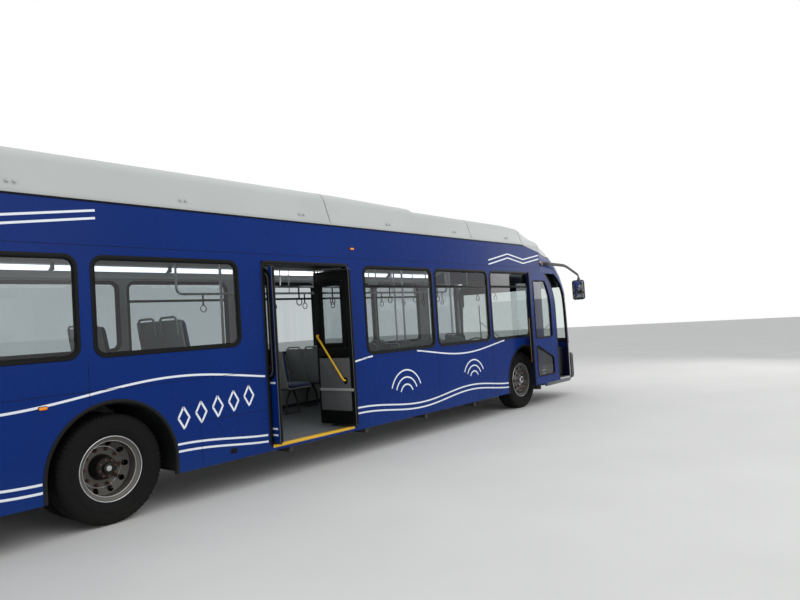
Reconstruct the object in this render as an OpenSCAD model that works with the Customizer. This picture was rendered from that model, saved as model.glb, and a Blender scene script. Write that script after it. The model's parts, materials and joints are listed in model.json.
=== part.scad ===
// Low-floor airport passenger bus, parked with both passenger doors open.
// +X is the front, -Y the kerb side with the doors, +Z up.
// The origin is on the ground below the middle of the body.

/* [Body] */
// Distance between the axle centres
wheelbase = 7650; // [7000:10:8200]
// Rear axle centre to the back of the rear bumper
rear_overhang = 2930; // [2800:10:3200]
// Front axle centre to the nose of the front bumper
front_overhang = 2300; // [2250:5:2450]
// Width over the side panels
body_w = 2590; // [2480:10:2600]
// Thickness of the side walls
wall_t = 50; // [35:1:60]
// Thickness of the roof panel
roof_t = 45; // [30:1:60]
// Height of the lower edge of the side panels
skirt_z = 332; // [300:1:360]
// Height of the line where the side panels end and the roof begins
trim_z = 2931; // [2850:1:3000]
// Overall height at the roof fairing
total_h = 3390; // [3300:5:3450]
// Height of the low floor
floor_z = 385; // [370:1:410]
// Thickness of the floor panels
floor_t = 40; // [25:1:50]
// Height of the raised floor at the back
high_floor_z = 880; // [820:5:920]

/* [Windows] */
// Height of the lower edge of the low windows
low_sill_z = 1262; // [1200:1:1320]
// Height of the lower edge of the windows above the raised floor
high_sill_z = 1513; // [1450:1:1560]
// Height of the upper edge of all side windows
window_top_z = 2448; // [2380:1:2500]
// Width of the black frame around each pane
frame_w = 42; // [25:1:60]
// Radius of the window corners
window_r = 120; // [60:5:160]
// Thickness of the glass
glass_t = 6; // [4:1:10]

/* [Wheels] */
// Outer radius of the tyres
tyre_r = 500; // [480:1:520]
// Section width of a tyre
tyre_w = 296; // [270:1:300]
// Outer radius of the rim flange
rim_r = 299; // [290:1:310]
// Distance between the middles of a front pair of tyres
front_track = 2120; // [2080:5:2140]
// Distance from the kingpin axis to the middle of a front tyre
kingpin_offset = 150; // [140:1:160]
// Distance from the middle of the bus to the outer rear tyres' middles
rear_outer_y = 1085; // [1060:1:1100]
// Distance between the middles of two twin tyres
twin_pitch = 335; // [325:1:350]
// Radius of the wheel arches in the side panels
arch_r = 620; // [600:5:660]

/* [Front door] */
// Width of the front doorway
front_door_w = 1000; // [940:5:1010]
// Height of the top of both doorways
door_top_z = 2430; // [2380:5:2440]
// Thickness of the door leaves
leaf_t = 40; // [30:1:45]
// Gap around the front leaf when it is shut
leaf_gap = 14; // [10:1:20]
// Length of the swing arms
swing_arm = 445; // [430:1:460]
// Distance the open front leaf stands out from the body side
front_leaf_out = 185; // [180:1:200]
// Radius of the leaf's curved upper front edge
leaf_edge_r = 780; // [700:10:900]

/* [Rear door] */
// Width of the rear doorway between its jambs
rear_door_w = 1325; // [1250:5:1360]
// Distance of each rear door shaft behind its jamb
shaft_behind = 30; // [28:1:40]
// Distance from a rear leaf's jamb edge to its crank pins
crank_pin_at = 200; // [190:1:210]
// Distance an open rear leaf stands out from the body side
rear_leaf_out = 97; // [90:1:110]
// Radius of the door shafts
shaft_r = 17; // [12:1:22]

/* [Hidden] */
$fn = 96;

// Main stations along the bus
total_l = rear_overhang + wheelbase + front_overhang;
rear_x = rear_overhang - total_l / 2;
front_x = rear_x + wheelbase;
nose_x = total_l / 2;
tail_x = -total_l / 2;
half_w = body_w / 2;
in_w = half_w - wall_t;
body_back = tail_x + 90;
body_front = nose_x - 165;
roof_top = trim_z + 130;

// Doorways
front_jamb_x = front_x + 780;
front_post_x = front_jamb_x + front_door_w;
rear_door_x0 = rear_x + 1810;
rear_door_x1 = rear_door_x0 + rear_door_w;
sill_z = floor_z + 5;
mask_x = front_post_x + 5;
header_z = door_top_z + 25;

// Windows: [near edge, far edge, sill height], measured from the rear axle. The low ones between the
// doorways are shares of the length from bay_start to bay_end.
bay_start = rear_door_w + 2124;
bay_end = wheelbase + 299;
low_bays = [[0, 0.3416], [0.352, 0.688], [0.6984, 1]];
low_windows = [for (b = low_bays)
    [bay_start + b[0] * (bay_end - bay_start), bay_start + b[1] * (bay_end - bay_start), low_sill_z]];
high_windows = [[170 - rear_overhang + 200, -1550, high_sill_z], [-1500, -268, high_sill_z],
    [-161, 1462, high_sill_z]];
kerb_windows = concat(high_windows, low_windows);
street_windows = concat(high_windows, [[1560, 3180, low_sill_z]], low_windows);
driver_window = [wheelbase + 580, wheelbase + 1680, 1180];
floor_step_x = rear_x + 1560;

// Front end, from the bumper up: [height, nose setback, corner radius, half-width loss at the
// corner, half-width loss at the joint with the roof]
front_rows = [[skirt_z, 0, 280, 0, 0], [1150, 0, 290, 0, 0], [2050, 45, 310, 0, 0], [2350, 120, 350, 8, 0],
    [2600, 270, 420, 25, 0], [2800, 480, 460, 60, 0], [2950, 700, 480, 110, 0],
    [roof_top, 930, 320, 230, 110]];
front_bow = 95;
front_start = front_jamb_x + 5;

function corner_pts(nose, half, r) = [for (i = [0:8])
    [nose - front_bow - r + r * sin(i * 90 / 8), half - r + r * cos(i * 90 / 8)]];
function bow_pts(nose, half, r) = [for (i = [1:3])
    let (y = (half - r) * (1 - i / 4)) [nose - front_bow * pow(y / (half - r), 2), y]];
function half_outline(nose, half, r, joint) = concat([[front_start, joint]], corner_pts(nose, half, r),
    bow_pts(nose, half, r));
function mirrored(pts) = [for (i = [len(pts) - 1:-1:0]) [pts[i][0], -pts[i][1]]];

module front_outline(nose, half, r, joint) {
    pts = half_outline(nose, half, r, joint);
    polygon(concat(pts, [[nose, 0]], mirrored(pts)));
}

// The rounded front of the body; inset pulls every face inwards
module front_form(inset, bottom = 0) {
    hull()
        for (row = front_rows)
            translate([0, 0, (row[0] == skirt_z ? row[0] - bottom : row[0] - (row[0] > 2900 ? inset : 0)) - 1])
                linear_extrude(1)
                    front_outline(body_front - row[1] - inset, half_w - row[3] - inset,
                        max(row[2] - inset, 60), half_w - row[4] - inset);
}

module block(x0, x1, y0, y1, z0, z1) {
    translate([x0, y0, z0]) cube([x1 - x0, y1 - y0, z1 - z0]);
}

// A tube or rod of radius r along X, Y or Z
module rod(p, axis, r, l) {
    translate(p) rotate(axis == "x" ? [0, 90, 0] : axis == "y" ? [-90, 0, 0] : [0, 0, 0])
        cylinder(r = r, h = l);
}

// Rectangle in X and Z with round corners, extruded along Y from y0 to y1
module side_panel(x0, x1, z0, z1, r, y0, y1) {
    translate([0, y1, 0]) rotate([90, 0, 0]) linear_extrude(y1 - y0) round_rect(x0, x1, z0, z1, r);
}

module round_rect(x0, x1, z0, z1, r) {
    union() {
        translate([x0 + r, z0]) square([x1 - x0 - 2 * r, z1 - z0]);
        translate([x0, z0 + r]) square([x1 - x0, z1 - z0 - 2 * r]);
        for (x = [x0 + r, x1 - r], z = [z0 + r, z1 - r]) translate([x, z]) circle(r);
    }
}

// Doorway and leaf share this outline: a curved upper front edge
module door_outline(x0, x1, z0, z1) {
    intersection() {
        translate([x0, z0]) square([x1 - x0, z1 - z0]);
        union() {
            translate([x0, z0]) square([x1 - x0, 1750 - z0]);
            translate([x1 - leaf_edge_r, 1750]) circle(leaf_edge_r);
        }
    }
}

module wheel_arch_cut(x, y0, y1) {
    rod([x, y0, tyre_r], "y", arch_r, y1 - y0);
    block(x - arch_r, x + arch_r, y0, y1, 0, tyre_r);
}

// One side wall with its windows and arches; windows are [x0, x1, sill] from the rear axle
module side_wall(side, windows, x1) {
    y0 = side < 0 ? -half_w : in_w;
    difference() {
        block(body_back, x1, y0, y0 + wall_t, skirt_z, trim_z);
        for (w = windows)
            side_panel(rear_x + w[0], rear_x + w[1], w[2], window_top_z, window_r, y0 - 1, y0 + wall_t + 1);
        for (x = [rear_x, front_x]) wheel_arch_cut(x, y0 - 1, y0 + wall_t + 1);
    }
}

module kerb_side() {
    color("royalblue") difference() {
        side_wall(-1, kerb_windows, front_jamb_x);
        cap_region(0);
        block(rear_door_x0 - frame_w, rear_door_x1 + frame_w, -half_w - 1, -in_w + 1, sill_z, door_top_z + 20);
    }
}

module street_side() {
    color("royalblue") difference() {
        side_wall(1, street_windows, mask_x);
        cap_region(0);
        block(front_jamb_x, mask_x + 1, in_w - 1, half_w + 1, header_z, trim_z + 1);
        side_panel(rear_x + driver_window[0], rear_x + driver_window[1], driver_window[2],
            window_top_z - 20, window_r, in_w - 1, half_w + 1);
    }
}

module roof() {
    color("gainsboro") difference() {
        roof_solid(half_w, roof_top);
        translate([-1, 0, 0]) roof_solid(half_w - wall_t, roof_top - roof_t);
    }
}

// Roof section between the trim line and the crown, with rounded edges
module roof_solid(half, top) {
    translate([body_back, 0, 0]) rotate([90, 0, 90])
        linear_extrude(front_jamb_x - body_back + (half < half_w ? 2 : 0))
            intersection() {
                translate([-half, trim_z]) square([2 * half, top - trim_z]);
                translate([0, top - 9000]) circle(9000);
                round_rect(-half, half, trim_z - 400, top, 110);
            }
}

// Fairing over the roof tanks: a flat-topped shell with sloped, rounded sides
fairing_t = 12;
fairing_z = trim_z + 12;
fairing_front = front_jamb_x + 300;

module fairing_section(top, inset) {
    w0 = half_w - 14 - inset;
    r = 190 - inset;
    intersection() {
        translate([-w0, fairing_z - 1]) square([2 * w0, top - fairing_z + 1 - inset]);
        polygon([[-w0, fairing_z - 2], [w0, fairing_z - 2], [w0 - 150, total_h], [150 - w0, total_h]]);
        round_rect(-w0 + 95, w0 - 95, fairing_z - 400, top - inset, r);
    }
}

module fairing_form(inset) {
    intersection() {
        translate([body_back, 0, 0]) rotate([90, 0, 90])
            linear_extrude(fairing_front - body_back) fairing_section(total_h, inset);
        translate([0, half_w, 0]) rotate([90, 0, 0]) linear_extrude(body_w)
            polygon([[body_back + inset, fairing_z - 1], [fairing_front - inset, fairing_z - 1],
                [fairing_front - 30 - inset, 3080 - inset], [front_x + 500, total_h - 150 - inset],
                [front_x - 300, total_h - 95 - inset], [rear_x + 4800, total_h - 75 - inset],
                [rear_x + 4760, total_h - 35 - inset], [rear_x + 3300, total_h - inset],
                [body_back + 260, total_h - inset], [body_back + inset, total_h - 200]]);
    }
}

// Everything above the slanted edge of the fairing's front cap
cap_x0 = front_x + 200;
cap_x1 = front_x + 1150;
cap_side_z = trim_z - 181;
cap_nose_z = trim_z - 231;
module cap_region(gap) {
    translate([0, half_w + 1, 0]) rotate([90, 0, 0]) linear_extrude(2 * half_w + 2)
        polygon([[cap_x0 + gap, trim_z + gap], [cap_x1 + gap, cap_side_z + gap], [nose_x, cap_nose_z + gap],
            [nose_x, total_h + 1], [cap_x0 + gap, total_h + 1]]);
}

// The front cap follows the body's top corner from the last side windows to the nose
module fairing_cap() {
    intersection() {
        cap_region(0.3);
        union() {
            difference() {
                front_form(0);
                front_form(wall_t, 60);
            }
            for (side = [-1, 1]) side_block(side, cap_x0, front_start + 1, in_w, half_w, cap_side_z, trim_z - 0.3);
        }
    }
}

module roof_fairing() {
    color("white") union() {
        difference() {
            fairing_form(0);
            translate([0, 0, -2]) fairing_form(fairing_t);
            roof_solid(half_w + 1, roof_top + 0.3);
            front_form(2);
        }
        fairing_cap();
    }
}

tank_r = 150;
module gas_tanks() {
    color("lightgray") for (x = [rear_x - 1200, rear_x + 1100], y = [-630, 0, 630])
        rod([x, y, roof_top + tank_r], "x", tank_r - 6, 2100);
}

// The mask is the blue front, with the corner above the front doorway
module front_mask() {
    color("royalblue") difference() {
        front_form(0);
        front_form(wall_t, 60);
        cap_region(0);
        windscreen_cut(0);
        translate([0, -in_w + 200, 0]) rotate([90, 0, 0]) linear_extrude(500)
            door_outline(front_start - 1, front_post_x, 0, door_top_z);
        block(front_start - 1, mask_x, in_w - 200, half_w + 1, 0, header_z);
    }
}

screen_z0 = 1060;
screen_z1 = 2520;
module windscreen_cut(inset) {
    block(mask_x + 25 + inset, nose_x, -half_w - 1, half_w + 1, screen_z0 + inset, screen_z1 - inset);
}

module window_glass() {
    color("slategray") {
        for (side = [-1, 1], w = side < 0 ? kerb_windows : street_windows) pane(side, w, 0);
        pane(1, driver_window, 20);
    }
}

module windscreen() {
    color("slategray") intersection() {
        difference() {
            front_form(12);
            front_form(12 + glass_t);
        }
        windscreen_cut(0.3);
    }
}

module pane(side, w, drop) {
    y0 = side < 0 ? -half_w + 12 : half_w - 12 - glass_t;
    side_panel(rear_x + w[0] + frame_w, rear_x + w[1] - frame_w, w[2] + frame_w,
        window_top_z - frame_w - drop, window_r - frame_w, y0, y0 + glass_t);
}

module window_frame(side, w, drop) {
    y0 = side < 0 ? -half_w + 2 : in_w + 2;
    x0 = rear_x + w[0];
    x1 = rear_x + w[1];
    difference() {
        side_panel(x0, x1, w[2], window_top_z - drop, window_r, y0, y0 + wall_t - 4);
        side_panel(x0 + frame_w - 4, x1 - frame_w + 4, w[2] + frame_w - 4, window_top_z - drop - frame_w + 4,
            window_r - frame_w + 4, y0 - 1, y0 + wall_t);
        side_panel(x0 + frame_w, x1 - frame_w, w[2] + frame_w, window_top_z - drop - frame_w,
            window_r - frame_w, y0, y0 + wall_t);
    }
}

module window_frames() {
    color("black") {
        for (side = [-1, 1], w = side < 0 ? kerb_windows : street_windows) window_frame(side, w, 0);
        window_frame(1, driver_window, 20);
        // Frame of the rear doorway
        difference() {
            block(rear_door_x0 - frame_w, rear_door_x1 + frame_w, -half_w + 2, -in_w - 2, sill_z,
                door_top_z + 20);
            block(rear_door_x0, rear_door_x1, -half_w, -in_w, sill_z - 1, door_top_z - 15);
        }
    }
}

module arch_trims() {
    color("dimgray") for (x = [rear_x, front_x], side = [-1, 1]) {
        y0 = side * half_w - (side < 0 ? 8 : -8) - 30;
        intersection() {
            difference() {
                wheel_arch_cut(x, y0, y0 + 60);
                translate([x, y0 - 1, tyre_r]) rotate([-90, 0, 0]) cylinder(r = arch_r - 22, h = 62);
                block(x - arch_r + 22, x + arch_r - 22, y0 - 1, y0 + 61, 0, tyre_r);
            }
            block(x - arch_r, x + arch_r, side < 0 ? -half_w - 8 : in_w, side < 0 ? -in_w : half_w + 8,
                skirt_z, 2000);
        }
    }
}

module rear_end() {
    color("royalblue") union() {
        difference() {
            block(body_back - 40, body_back, -half_w, half_w, skirt_z + 120, trim_z);
            block(body_back - 41, body_back + 1, -engine_door_w / 2 - engine_door_gap,
                engine_door_w / 2 + engine_door_gap, engine_door_z0 - engine_door_gap,
                engine_door_z1 + engine_door_gap);
        }
        // Hinge ears and pins of the engine door
        for (y = hinge_places) {
            rod([hinge_x, y - 76, hinge_z], "y", hinge_pin_r, 152);
            for (y0 = [y - 78, y + 64])
                block(hinge_x - 9, hinge_x + 9, y0, y0 + 14, hinge_z - 10, engine_door_z1 + engine_door_gap + 1);
        }
    }
}

engine_door_w = 1900;
engine_door_z0 = 620;
engine_door_z1 = 1420;
engine_door_gap = 16;
hinge_x = body_back - 28;
hinge_z = engine_door_z1 - 14;
hinge_pin_r = 6;
hinge_places = [-700, 0, 700];
module engine_door() {
    color("royalblue") difference() {
        union() {
            block(body_back - 45, body_back - 12, -engine_door_w / 2, engine_door_w / 2, engine_door_z0,
                engine_door_z1);
            for (y = hinge_places) rod([hinge_x, y - 56, hinge_z], "y", 14, 112);
        }
        // Louvre slots in both halves
        for (y0 = [-800, 90], i = [0:8])
            block(body_back - 50, body_back, y0, y0 + 710, engine_door_z0 + 110 + i * 64,
                engine_door_z0 + 134 + i * 64);
        for (y = hinge_places) {
            rod([hinge_x, y - 84, hinge_z], "y", hinge_pin_r + 0.1, 168);
            for (y0 = [y - 84, y + 58])
                block(body_back - 50, body_back, y0, y0 + 26, hinge_z - 26, engine_door_z1 + 1);
        }
    }
}

module bumpers() {
    color("black") {
        difference() {
            translate([0, 0, skirt_z + 20]) linear_extrude(490)
                front_outline(nose_x, half_w, 300, half_w);
            front_form(-0.3, 60);
            block(front_start - 1, mask_x + 60, -half_w - 1, half_w + 1, 0, 1000);
            head_lamps(0.3);
        }
        difference() {
            block(tail_x, body_back - 40.3, -half_w + 10, half_w - 10, skirt_z + 100, skirt_z + 270);
            for (y = [-half_w + 10, half_w - 10]) translate([tail_x, y, 0]) rotate([0, 0, 45])
                cube([120, 120, 2000], center = true);
        }
    }
}

front_box_y = front_track / 2 - kingpin_offset - 350;
rear_box_y = rear_outer_y - 605;
module floor() {
    color("gray") difference() {
        union() {
            block(floor_step_x, front_start, -in_w + 1, in_w - 1, floor_z - floor_t, floor_z);
            intersection() {
                block(front_start - 1, body_front, -half_w, half_w, floor_z - floor_t, floor_z);
                front_form(wall_t + 0.3, 60);
            }
            // Sill of the front doorway
            block(front_jamb_x + 0.3, front_post_x - 0.3, -half_w + 2, -in_w + 2, floor_z - 85, sill_z);
            block(body_back + 1, floor_step_x, -in_w + 1, in_w - 1, high_floor_z - floor_t, high_floor_z);
            block(floor_step_x, floor_step_x + floor_t, -in_w + 1, in_w - 1, floor_z, high_floor_z);
            for (side = [-1, 1]) wheel_box(front_x, side, front_box_y, floor_z, 1130);
            for (side = [-1, 1]) wheel_box(rear_x, side, rear_box_y, high_floor_z - 1, 1130);
        }
        for (side = [-1, 1]) wheel_box_space(front_x, side, front_box_y + 30, 1100);
        for (side = [-1, 1]) wheel_box_space(rear_x, side, rear_box_y + 30, 1100);
    }
}

// Housing over a wheel: from the side wall to inner_y
module wheel_box(x, side, inner_y, z0, z1) {
    y0 = side < 0 ? -in_w + 1 : inner_y;
    block(x - arch_r - 30, x + arch_r + 30, y0, y0 + in_w - 1 - inner_y, z0, z1);
}

module wheel_box_space(x, side, inner_y, z1) {
    y0 = side < 0 ? -half_w : inner_y;
    block(x - arch_r, x + arch_r, y0, y0 + half_w - inner_y, 0, z1);
}

rail_y = 430;
rail_h = 160;
tow_eye_r = 25;
tow_front_x = nose_x - 210;
tow_front_z = 260;
tow_back_x = tail_x + 60;
tow_back_z = 378;
engine_x0 = body_back + 150;
engine_x1 = rear_x - arch_r - 200;
cradle_z = 440;
member_gap = 0.3;

// Cross member in three lengths, between the rails and outside them
module cross_member(x, z0, z1) {
    block(x, x + 60, -rail_y + 35 + member_gap, rail_y - 35 - member_gap, z0, z1);
    for (side = [-1, 1]) side_block(side, x, x + 60, rail_y + 35 + member_gap, in_w - 30, z0, z1);
}

module underframe() {
    low_top = floor_z - floor_t - member_gap;
    high_top = high_floor_z - floor_t - member_gap;
    color("dimgray") {
        for (side = [-1, 1]) {
            // Low rail, front rail with its tow lug, and high rail on a post
            side_block(side, floor_step_x - 20 + member_gap, front_x - 330, rail_y - 35, rail_y + 35,
                low_top - rail_h + 20, low_top);
            union() {
                side_block(side, front_x + 330, body_front - 160, rail_y - 35, rail_y + 35,
                    low_top - rail_h + 20, low_top);
                tow_lug(body_front - 165, tow_front_x, side * rail_y, tow_front_z);
            }
            side_block(side, floor_step_x - 100, floor_step_x - 20, rail_y - 35, rail_y + 35,
                low_top - rail_h + 20, high_top - 110 - member_gap);
            side_block(side, body_back + 60, floor_step_x - 20, rail_y - 35, rail_y + 35, high_top - 110, high_top);
            // Cradle rail under the engine with its hangers and tow lug
            union() {
                side_block(side, body_back + 60, engine_x1 + 40, rail_y - 35, rail_y + 35, cradle_z - 60, cradle_z);
                tow_lug(body_back + 70, tow_back_x, side * rail_y, tow_back_z);
            }
            for (x = [body_back + 60, engine_x1 - 20])
                side_block(side, x, x + 60, rail_y - 35, rail_y + 35, cradle_z + member_gap,
                    high_top - 110 - member_gap);
        }
        for (x = [floor_step_x + 550:1300:front_x - arch_r]) cross_member(x, low_top - 90, low_top);
        cross_member(front_x + arch_r, low_top - 90, low_top);
        for (x = [body_back + 60, rear_x - arch_r - 120, rear_x + arch_r + 60])
            cross_member(x, high_top - 110, high_top);
    }
}

// A tow lug: a plate from the rail's end at x0 with its eye at x
module tow_lug(x0, x, y, z) {
    difference() {
        union() {
            block(min(x0, x), max(x0, x), y - 15, y + 15, z - 45, z + 45);
            rod([x, y - 15, z], "y", 45, 30);
        }
        rod([x, y - 20, z], "y", tow_eye_r, 40);
    }
}

module engine() {
    color("silver") union() {
        block(engine_x0, engine_x1, -370, 370, 370, 722);
        for (x = [engine_x0 + 120, engine_x1 - 220])
            block(x, x + 100, -rail_y - 30, rail_y + 30, cradle_z + 0.3, cradle_z + 30);
    }
}

axle_z = tyre_r;
beam_z = 235;
kingpin_y = front_track / 2 - kingpin_offset;
kingpin_r = 24;

// A box given by its distances from the middle plane, on one side of the bus
module side_block(side, x0, x1, y0, y1, z0, z1) {
    block(x0, x1, side > 0 ? y0 : -y1, side > 0 ? y1 : -y0, z0, z1);
}

// The dropped beam rises outside the wheel boxes' inner walls
axle_post_w = 72;
module front_axle() {
    drop_y = kingpin_y - 230;
    color("dimgray") union() {
        block(front_x - 60, front_x + 60, -drop_y, drop_y, beam_z - 45, beam_z + 45);
        for (side = [-1, 1]) {
            side_block(side, front_x - 60, front_x + 60, drop_y - axle_post_w, drop_y, beam_z - 45, axle_z + 60);
            side_block(side, front_x - 45, front_x + 45, drop_y - 1, kingpin_y, axle_z - 60, axle_z + 60);
            rod([front_x, side * kingpin_y, axle_z - 60], "z", 45, 120);
            rod([front_x, side * kingpin_y, axle_z - 118], "z", kingpin_r, 236);
        }
    }
}

// Steering knuckle: fork round the axle end, stub axle outwards and steering arm back
arm_back = 200;
fork_gap = 6;
module knuckle(side) {
    arm_end = [front_x - arm_back, side * kingpin_y];
    color("gray") difference() {
        union() {
            for (z = [axle_z - 115, axle_z + 60 + fork_gap]) {
                rod([front_x, side * kingpin_y, z], "z", 42, 49);
                side_block(side, front_x - 38, front_x + 38, kingpin_y, kingpin_y + 62, z, z + 49);
            }
            side_block(side, front_x - 38, front_x + 38, kingpin_y + 52, kingpin_y + 75, axle_z - 115,
                axle_z + 115);
            side_rod(side, front_x, axle_z, 32, kingpin_y + 70, front_track / 2 + 95);
            translate([0, 0, axle_z - 145]) linear_extrude(32) union() {
                bar([front_x, side * kingpin_y], arm_end, 22);
                translate(arm_end) circle(26);
                translate([front_x, side * kingpin_y]) circle(40);
            }
        }
        rod([front_x, side * kingpin_y, axle_z - 150], "z", kingpin_r + 0.5, 300);
        rod([arm_end[0], arm_end[1], axle_z - 150], "z", 12, 40);
    }
}

// A rod along Y between two distances from the middle plane, on one side of the bus
module side_rod(side, x, z, r, y0, y1) {
    rod([x, side > 0 ? y0 : -y1, z], "y", r, y1 - y0);
}

module knuckle_kerb() { knuckle(-1); }
module knuckle_street() { knuckle(1); }

tie_z = axle_z - 178;
module tie_rod() {
    color("silver") union() {
        rod([front_x - arm_back, -kingpin_y, tie_z], "y", 16, 2 * kingpin_y);
        for (y = [-kingpin_y, kingpin_y]) {
            rod([front_x - arm_back, y, tie_z - 17], "z", 22, axle_z - 145 - 0.5 - tie_z + 17);
            rod([front_x - arm_back, y, tie_z], "z", 11.5, axle_z - 114 - tie_z);
        }
    }
}

module rear_axle() {
    color("dimgray") union() {
        rod([rear_x, -rear_outer_y + 310, axle_z], "y", 75, 2 * rear_outer_y - 620);
        rod([rear_x, -130, axle_z], "y", 190, 260);
        rod([rear_x, -rear_outer_y - 20, axle_z], "y", 40, 2 * rear_outer_y + 40);
        for (side = [-1, 1]) block(rear_x - 90, rear_x + 90, side * 470 - 45, side * 470 + 45, axle_z + 60,
            high_floor_z - floor_t - 110.3);
    }
}

// Tyre turned about Y; the section is drawn as width against radius
module tyre(x, y) {
    w = tyre_w / 2;
    translate([x, y, tyre_r]) rotate([-90, 0, 0]) rotate_extrude()
        polygon([[rim_r - 11.4, -w + 42], [rim_r + 25, -w + 12], [tyre_r - 110, -w], [tyre_r - 45, -w + 10],
            [tyre_r - 14, -w + 28], [tyre_r, -w + 60], [tyre_r, w - 60], [tyre_r - 14, w - 28],
            [tyre_r - 45, w - 10], [tyre_r - 110, w], [rim_r + 25, w - 12], [rim_r - 11.4, w - 42]]);
}

// Front disc wheel: the hub stands out, and the bearing seat is bored from inside
module front_wheel_rim(side) {
    mid = front_track / 2;
    color("silver") difference() {
        union() {
            translate([front_x, side * mid, tyre_r]) rotate([-90, 0, 0]) rim_barrel();
            side_rod(side, front_x, tyre_r, rim_r - 42, mid + 68, mid + 82);
            side_rod(side, front_x, tyre_r, 108, mid - 15, mid + 130);
        }
        side_rod(side, front_x, tyre_r, 32.5, mid - 20, mid + 115);
        hand_holes(front_x, side * (mid + 75));
    }
}

module rim_barrel() {
    w = tyre_w / 2;
    rotate_extrude() polygon([[rim_r, -w + 28], [rim_r - 11.5, -w + 41], [rim_r - 34, -w + 90],
        [rim_r - 34, w - 90], [rim_r - 11.5, w - 41], [rim_r, w - 28], [rim_r - 22, w - 30],
        [rim_r - 48, w - 88], [rim_r - 48, -w + 88], [rim_r - 22, -w + 30]]);
}

module hand_holes(x, y) {
    translate([x, y, tyre_r]) rotate([-90, 0, 0]) for (i = [0:9]) rotate(i * 36 + 18)
        translate([rim_r - 88, 0, -12]) cylinder(r = 24, h = 24, $fn = 32);
}

module rear_wheel_rims(side) {
    color("gray") difference() {
        union() {
            for (y = [rear_outer_y, rear_outer_y - twin_pitch])
                translate([rear_x, side * y, tyre_r]) rotate([-90, 0, 0]) rim_barrel();
            for (y = [rear_outer_y - 75, rear_outer_y - twin_pitch + 75])
                side_rod(side, rear_x, tyre_r, rim_r - 42, y - 7, y + 7);
            side_rod(side, rear_x, tyre_r, 120, rear_outer_y - twin_pitch + 30, rear_outer_y + 60);
        }
        side_rod(side, rear_x, tyre_r, 40.5, 0, rear_outer_y + 30);
        for (y = [rear_outer_y - 75, rear_outer_y - twin_pitch + 75]) hand_holes(rear_x, side * y);
    }
}

module rim_front_kerb() { front_wheel_rim(-1); }
module rim_front_street() { front_wheel_rim(1); }
module tyre_front_kerb() { color("black") tyre(front_x, -front_track / 2); }
module tyre_front_street() { color("black") tyre(front_x, front_track / 2); }
module rims_rear_kerb() { rear_wheel_rims(-1); }
module rims_rear_street() { rear_wheel_rims(1); }
module rear_tyres(side) {
    color("black") for (y = [rear_outer_y, rear_outer_y - twin_pitch]) tyre(rear_x, side * y);
}
module tyres_rear_kerb() { rear_tyres(-1); }
module tyres_rear_street() { rear_tyres(1); }

// Front door: the leaf stands open, swung back along the side on two arms
shaft_y = -half_w + 130;
pin_in = 25;
pin_y_open = -half_w - front_leaf_out + leaf_t + pin_in;
pin_y_shut = -half_w + leaf_t + pin_in;
arm_open = 180 + asin((shaft_y - pin_y_open) / swing_arm);
arm_shut = -asin((shaft_y - pin_y_shut) / swing_arm);
front_shaft_x = front_jamb_x + 50;
pin_x_open = front_shaft_x + swing_arm * cos(arm_open);
leaf_shift = swing_arm * (cos(arm_open) - cos(arm_shut));
leaf_x0 = front_jamb_x + leaf_gap + leaf_shift;
leaf_x1 = front_post_x - leaf_gap + leaf_shift;
leaf_y0 = -half_w - front_leaf_out;
leaf_z0 = sill_z + 12;
leaf_z1 = door_top_z - leaf_gap;
arm_levels = [leaf_z0 + 70, leaf_z1 - 110];
elbow = [-20, -175];

// Flat bar of half-width r from p to q
module bar(p, q, r) {
    translate(p) rotate(atan2(q[1] - p[1], q[0] - p[0])) translate([0, -r]) square([norm(q - p), 2 * r]);
}

module front_door_shaft() {
    color("dimgray") union() {
        rod([front_shaft_x, shaft_y, floor_z + 3], "z", shaft_r, header_z + 22 - floor_z);
        for (z = arm_levels) translate([front_shaft_x, shaft_y, z]) linear_extrude(26) {
            pin = [swing_arm * cos(arm_open), swing_arm * sin(arm_open)];
            difference() {
                union() {
                    bar([0, 0], elbow, 10);
                    translate(elbow) circle(13);
                    bar(elbow, pin, 10);
                    translate(pin) circle(18);
                    circle(shaft_r + 6);
                }
                translate(pin) circle(8.5);
            }
        }
    }
}

module front_leaf_extrude(x0, x1, z0, z1, y0, t) {
    translate([0, y0 + t, 0]) rotate([90, 0, 0]) linear_extrude(t) door_outline(x0, x1, z0, z1);
}

module front_glass_cut(inset, y0, t) {
    // Upper pane follows the curved edge
    front_leaf_extrude(leaf_x0 + 135 + inset, leaf_x1 - 195 - inset, 1230 + inset, leaf_z1 - 150 - inset, y0, t);
    // Lower pane is cut off at a slant
    translate([0, y0 + t, 0]) rotate([90, 0, 0]) linear_extrude(t) intersection() {
        round_rect(leaf_x0 + 135 + inset, leaf_x1 - 195 - inset, 545 + inset, 1105 - inset, 60);
        polygon([[leaf_x0, 400], [leaf_x1, 400], [leaf_x1, 770 - inset], [leaf_x0 + 135, 1130 - inset],
            [leaf_x0, 1130 - inset]]);
    }
}

module front_door_leaf() {
    color("royalblue") union() {
        difference() {
            front_leaf_extrude(leaf_x0, leaf_x1, leaf_z0, leaf_z1, leaf_y0, leaf_t);
            front_glass_cut(0, leaf_y0 - 1, leaf_t + 2);
        }
        for (z = arm_levels) {
            block(pin_x_open - 30, pin_x_open + 30, leaf_y0 + leaf_t - 1, leaf_y0 + leaf_t + pin_in + 14, z - 14, z - 2);
            rod([pin_x_open, leaf_y0 + leaf_t + pin_in, z - 8], "z", 8, 40);
        }
    }
}

module front_door_glass() {
    color("slategray") front_glass_cut(0.3, leaf_y0 + 12, glass_t);
}

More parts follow.
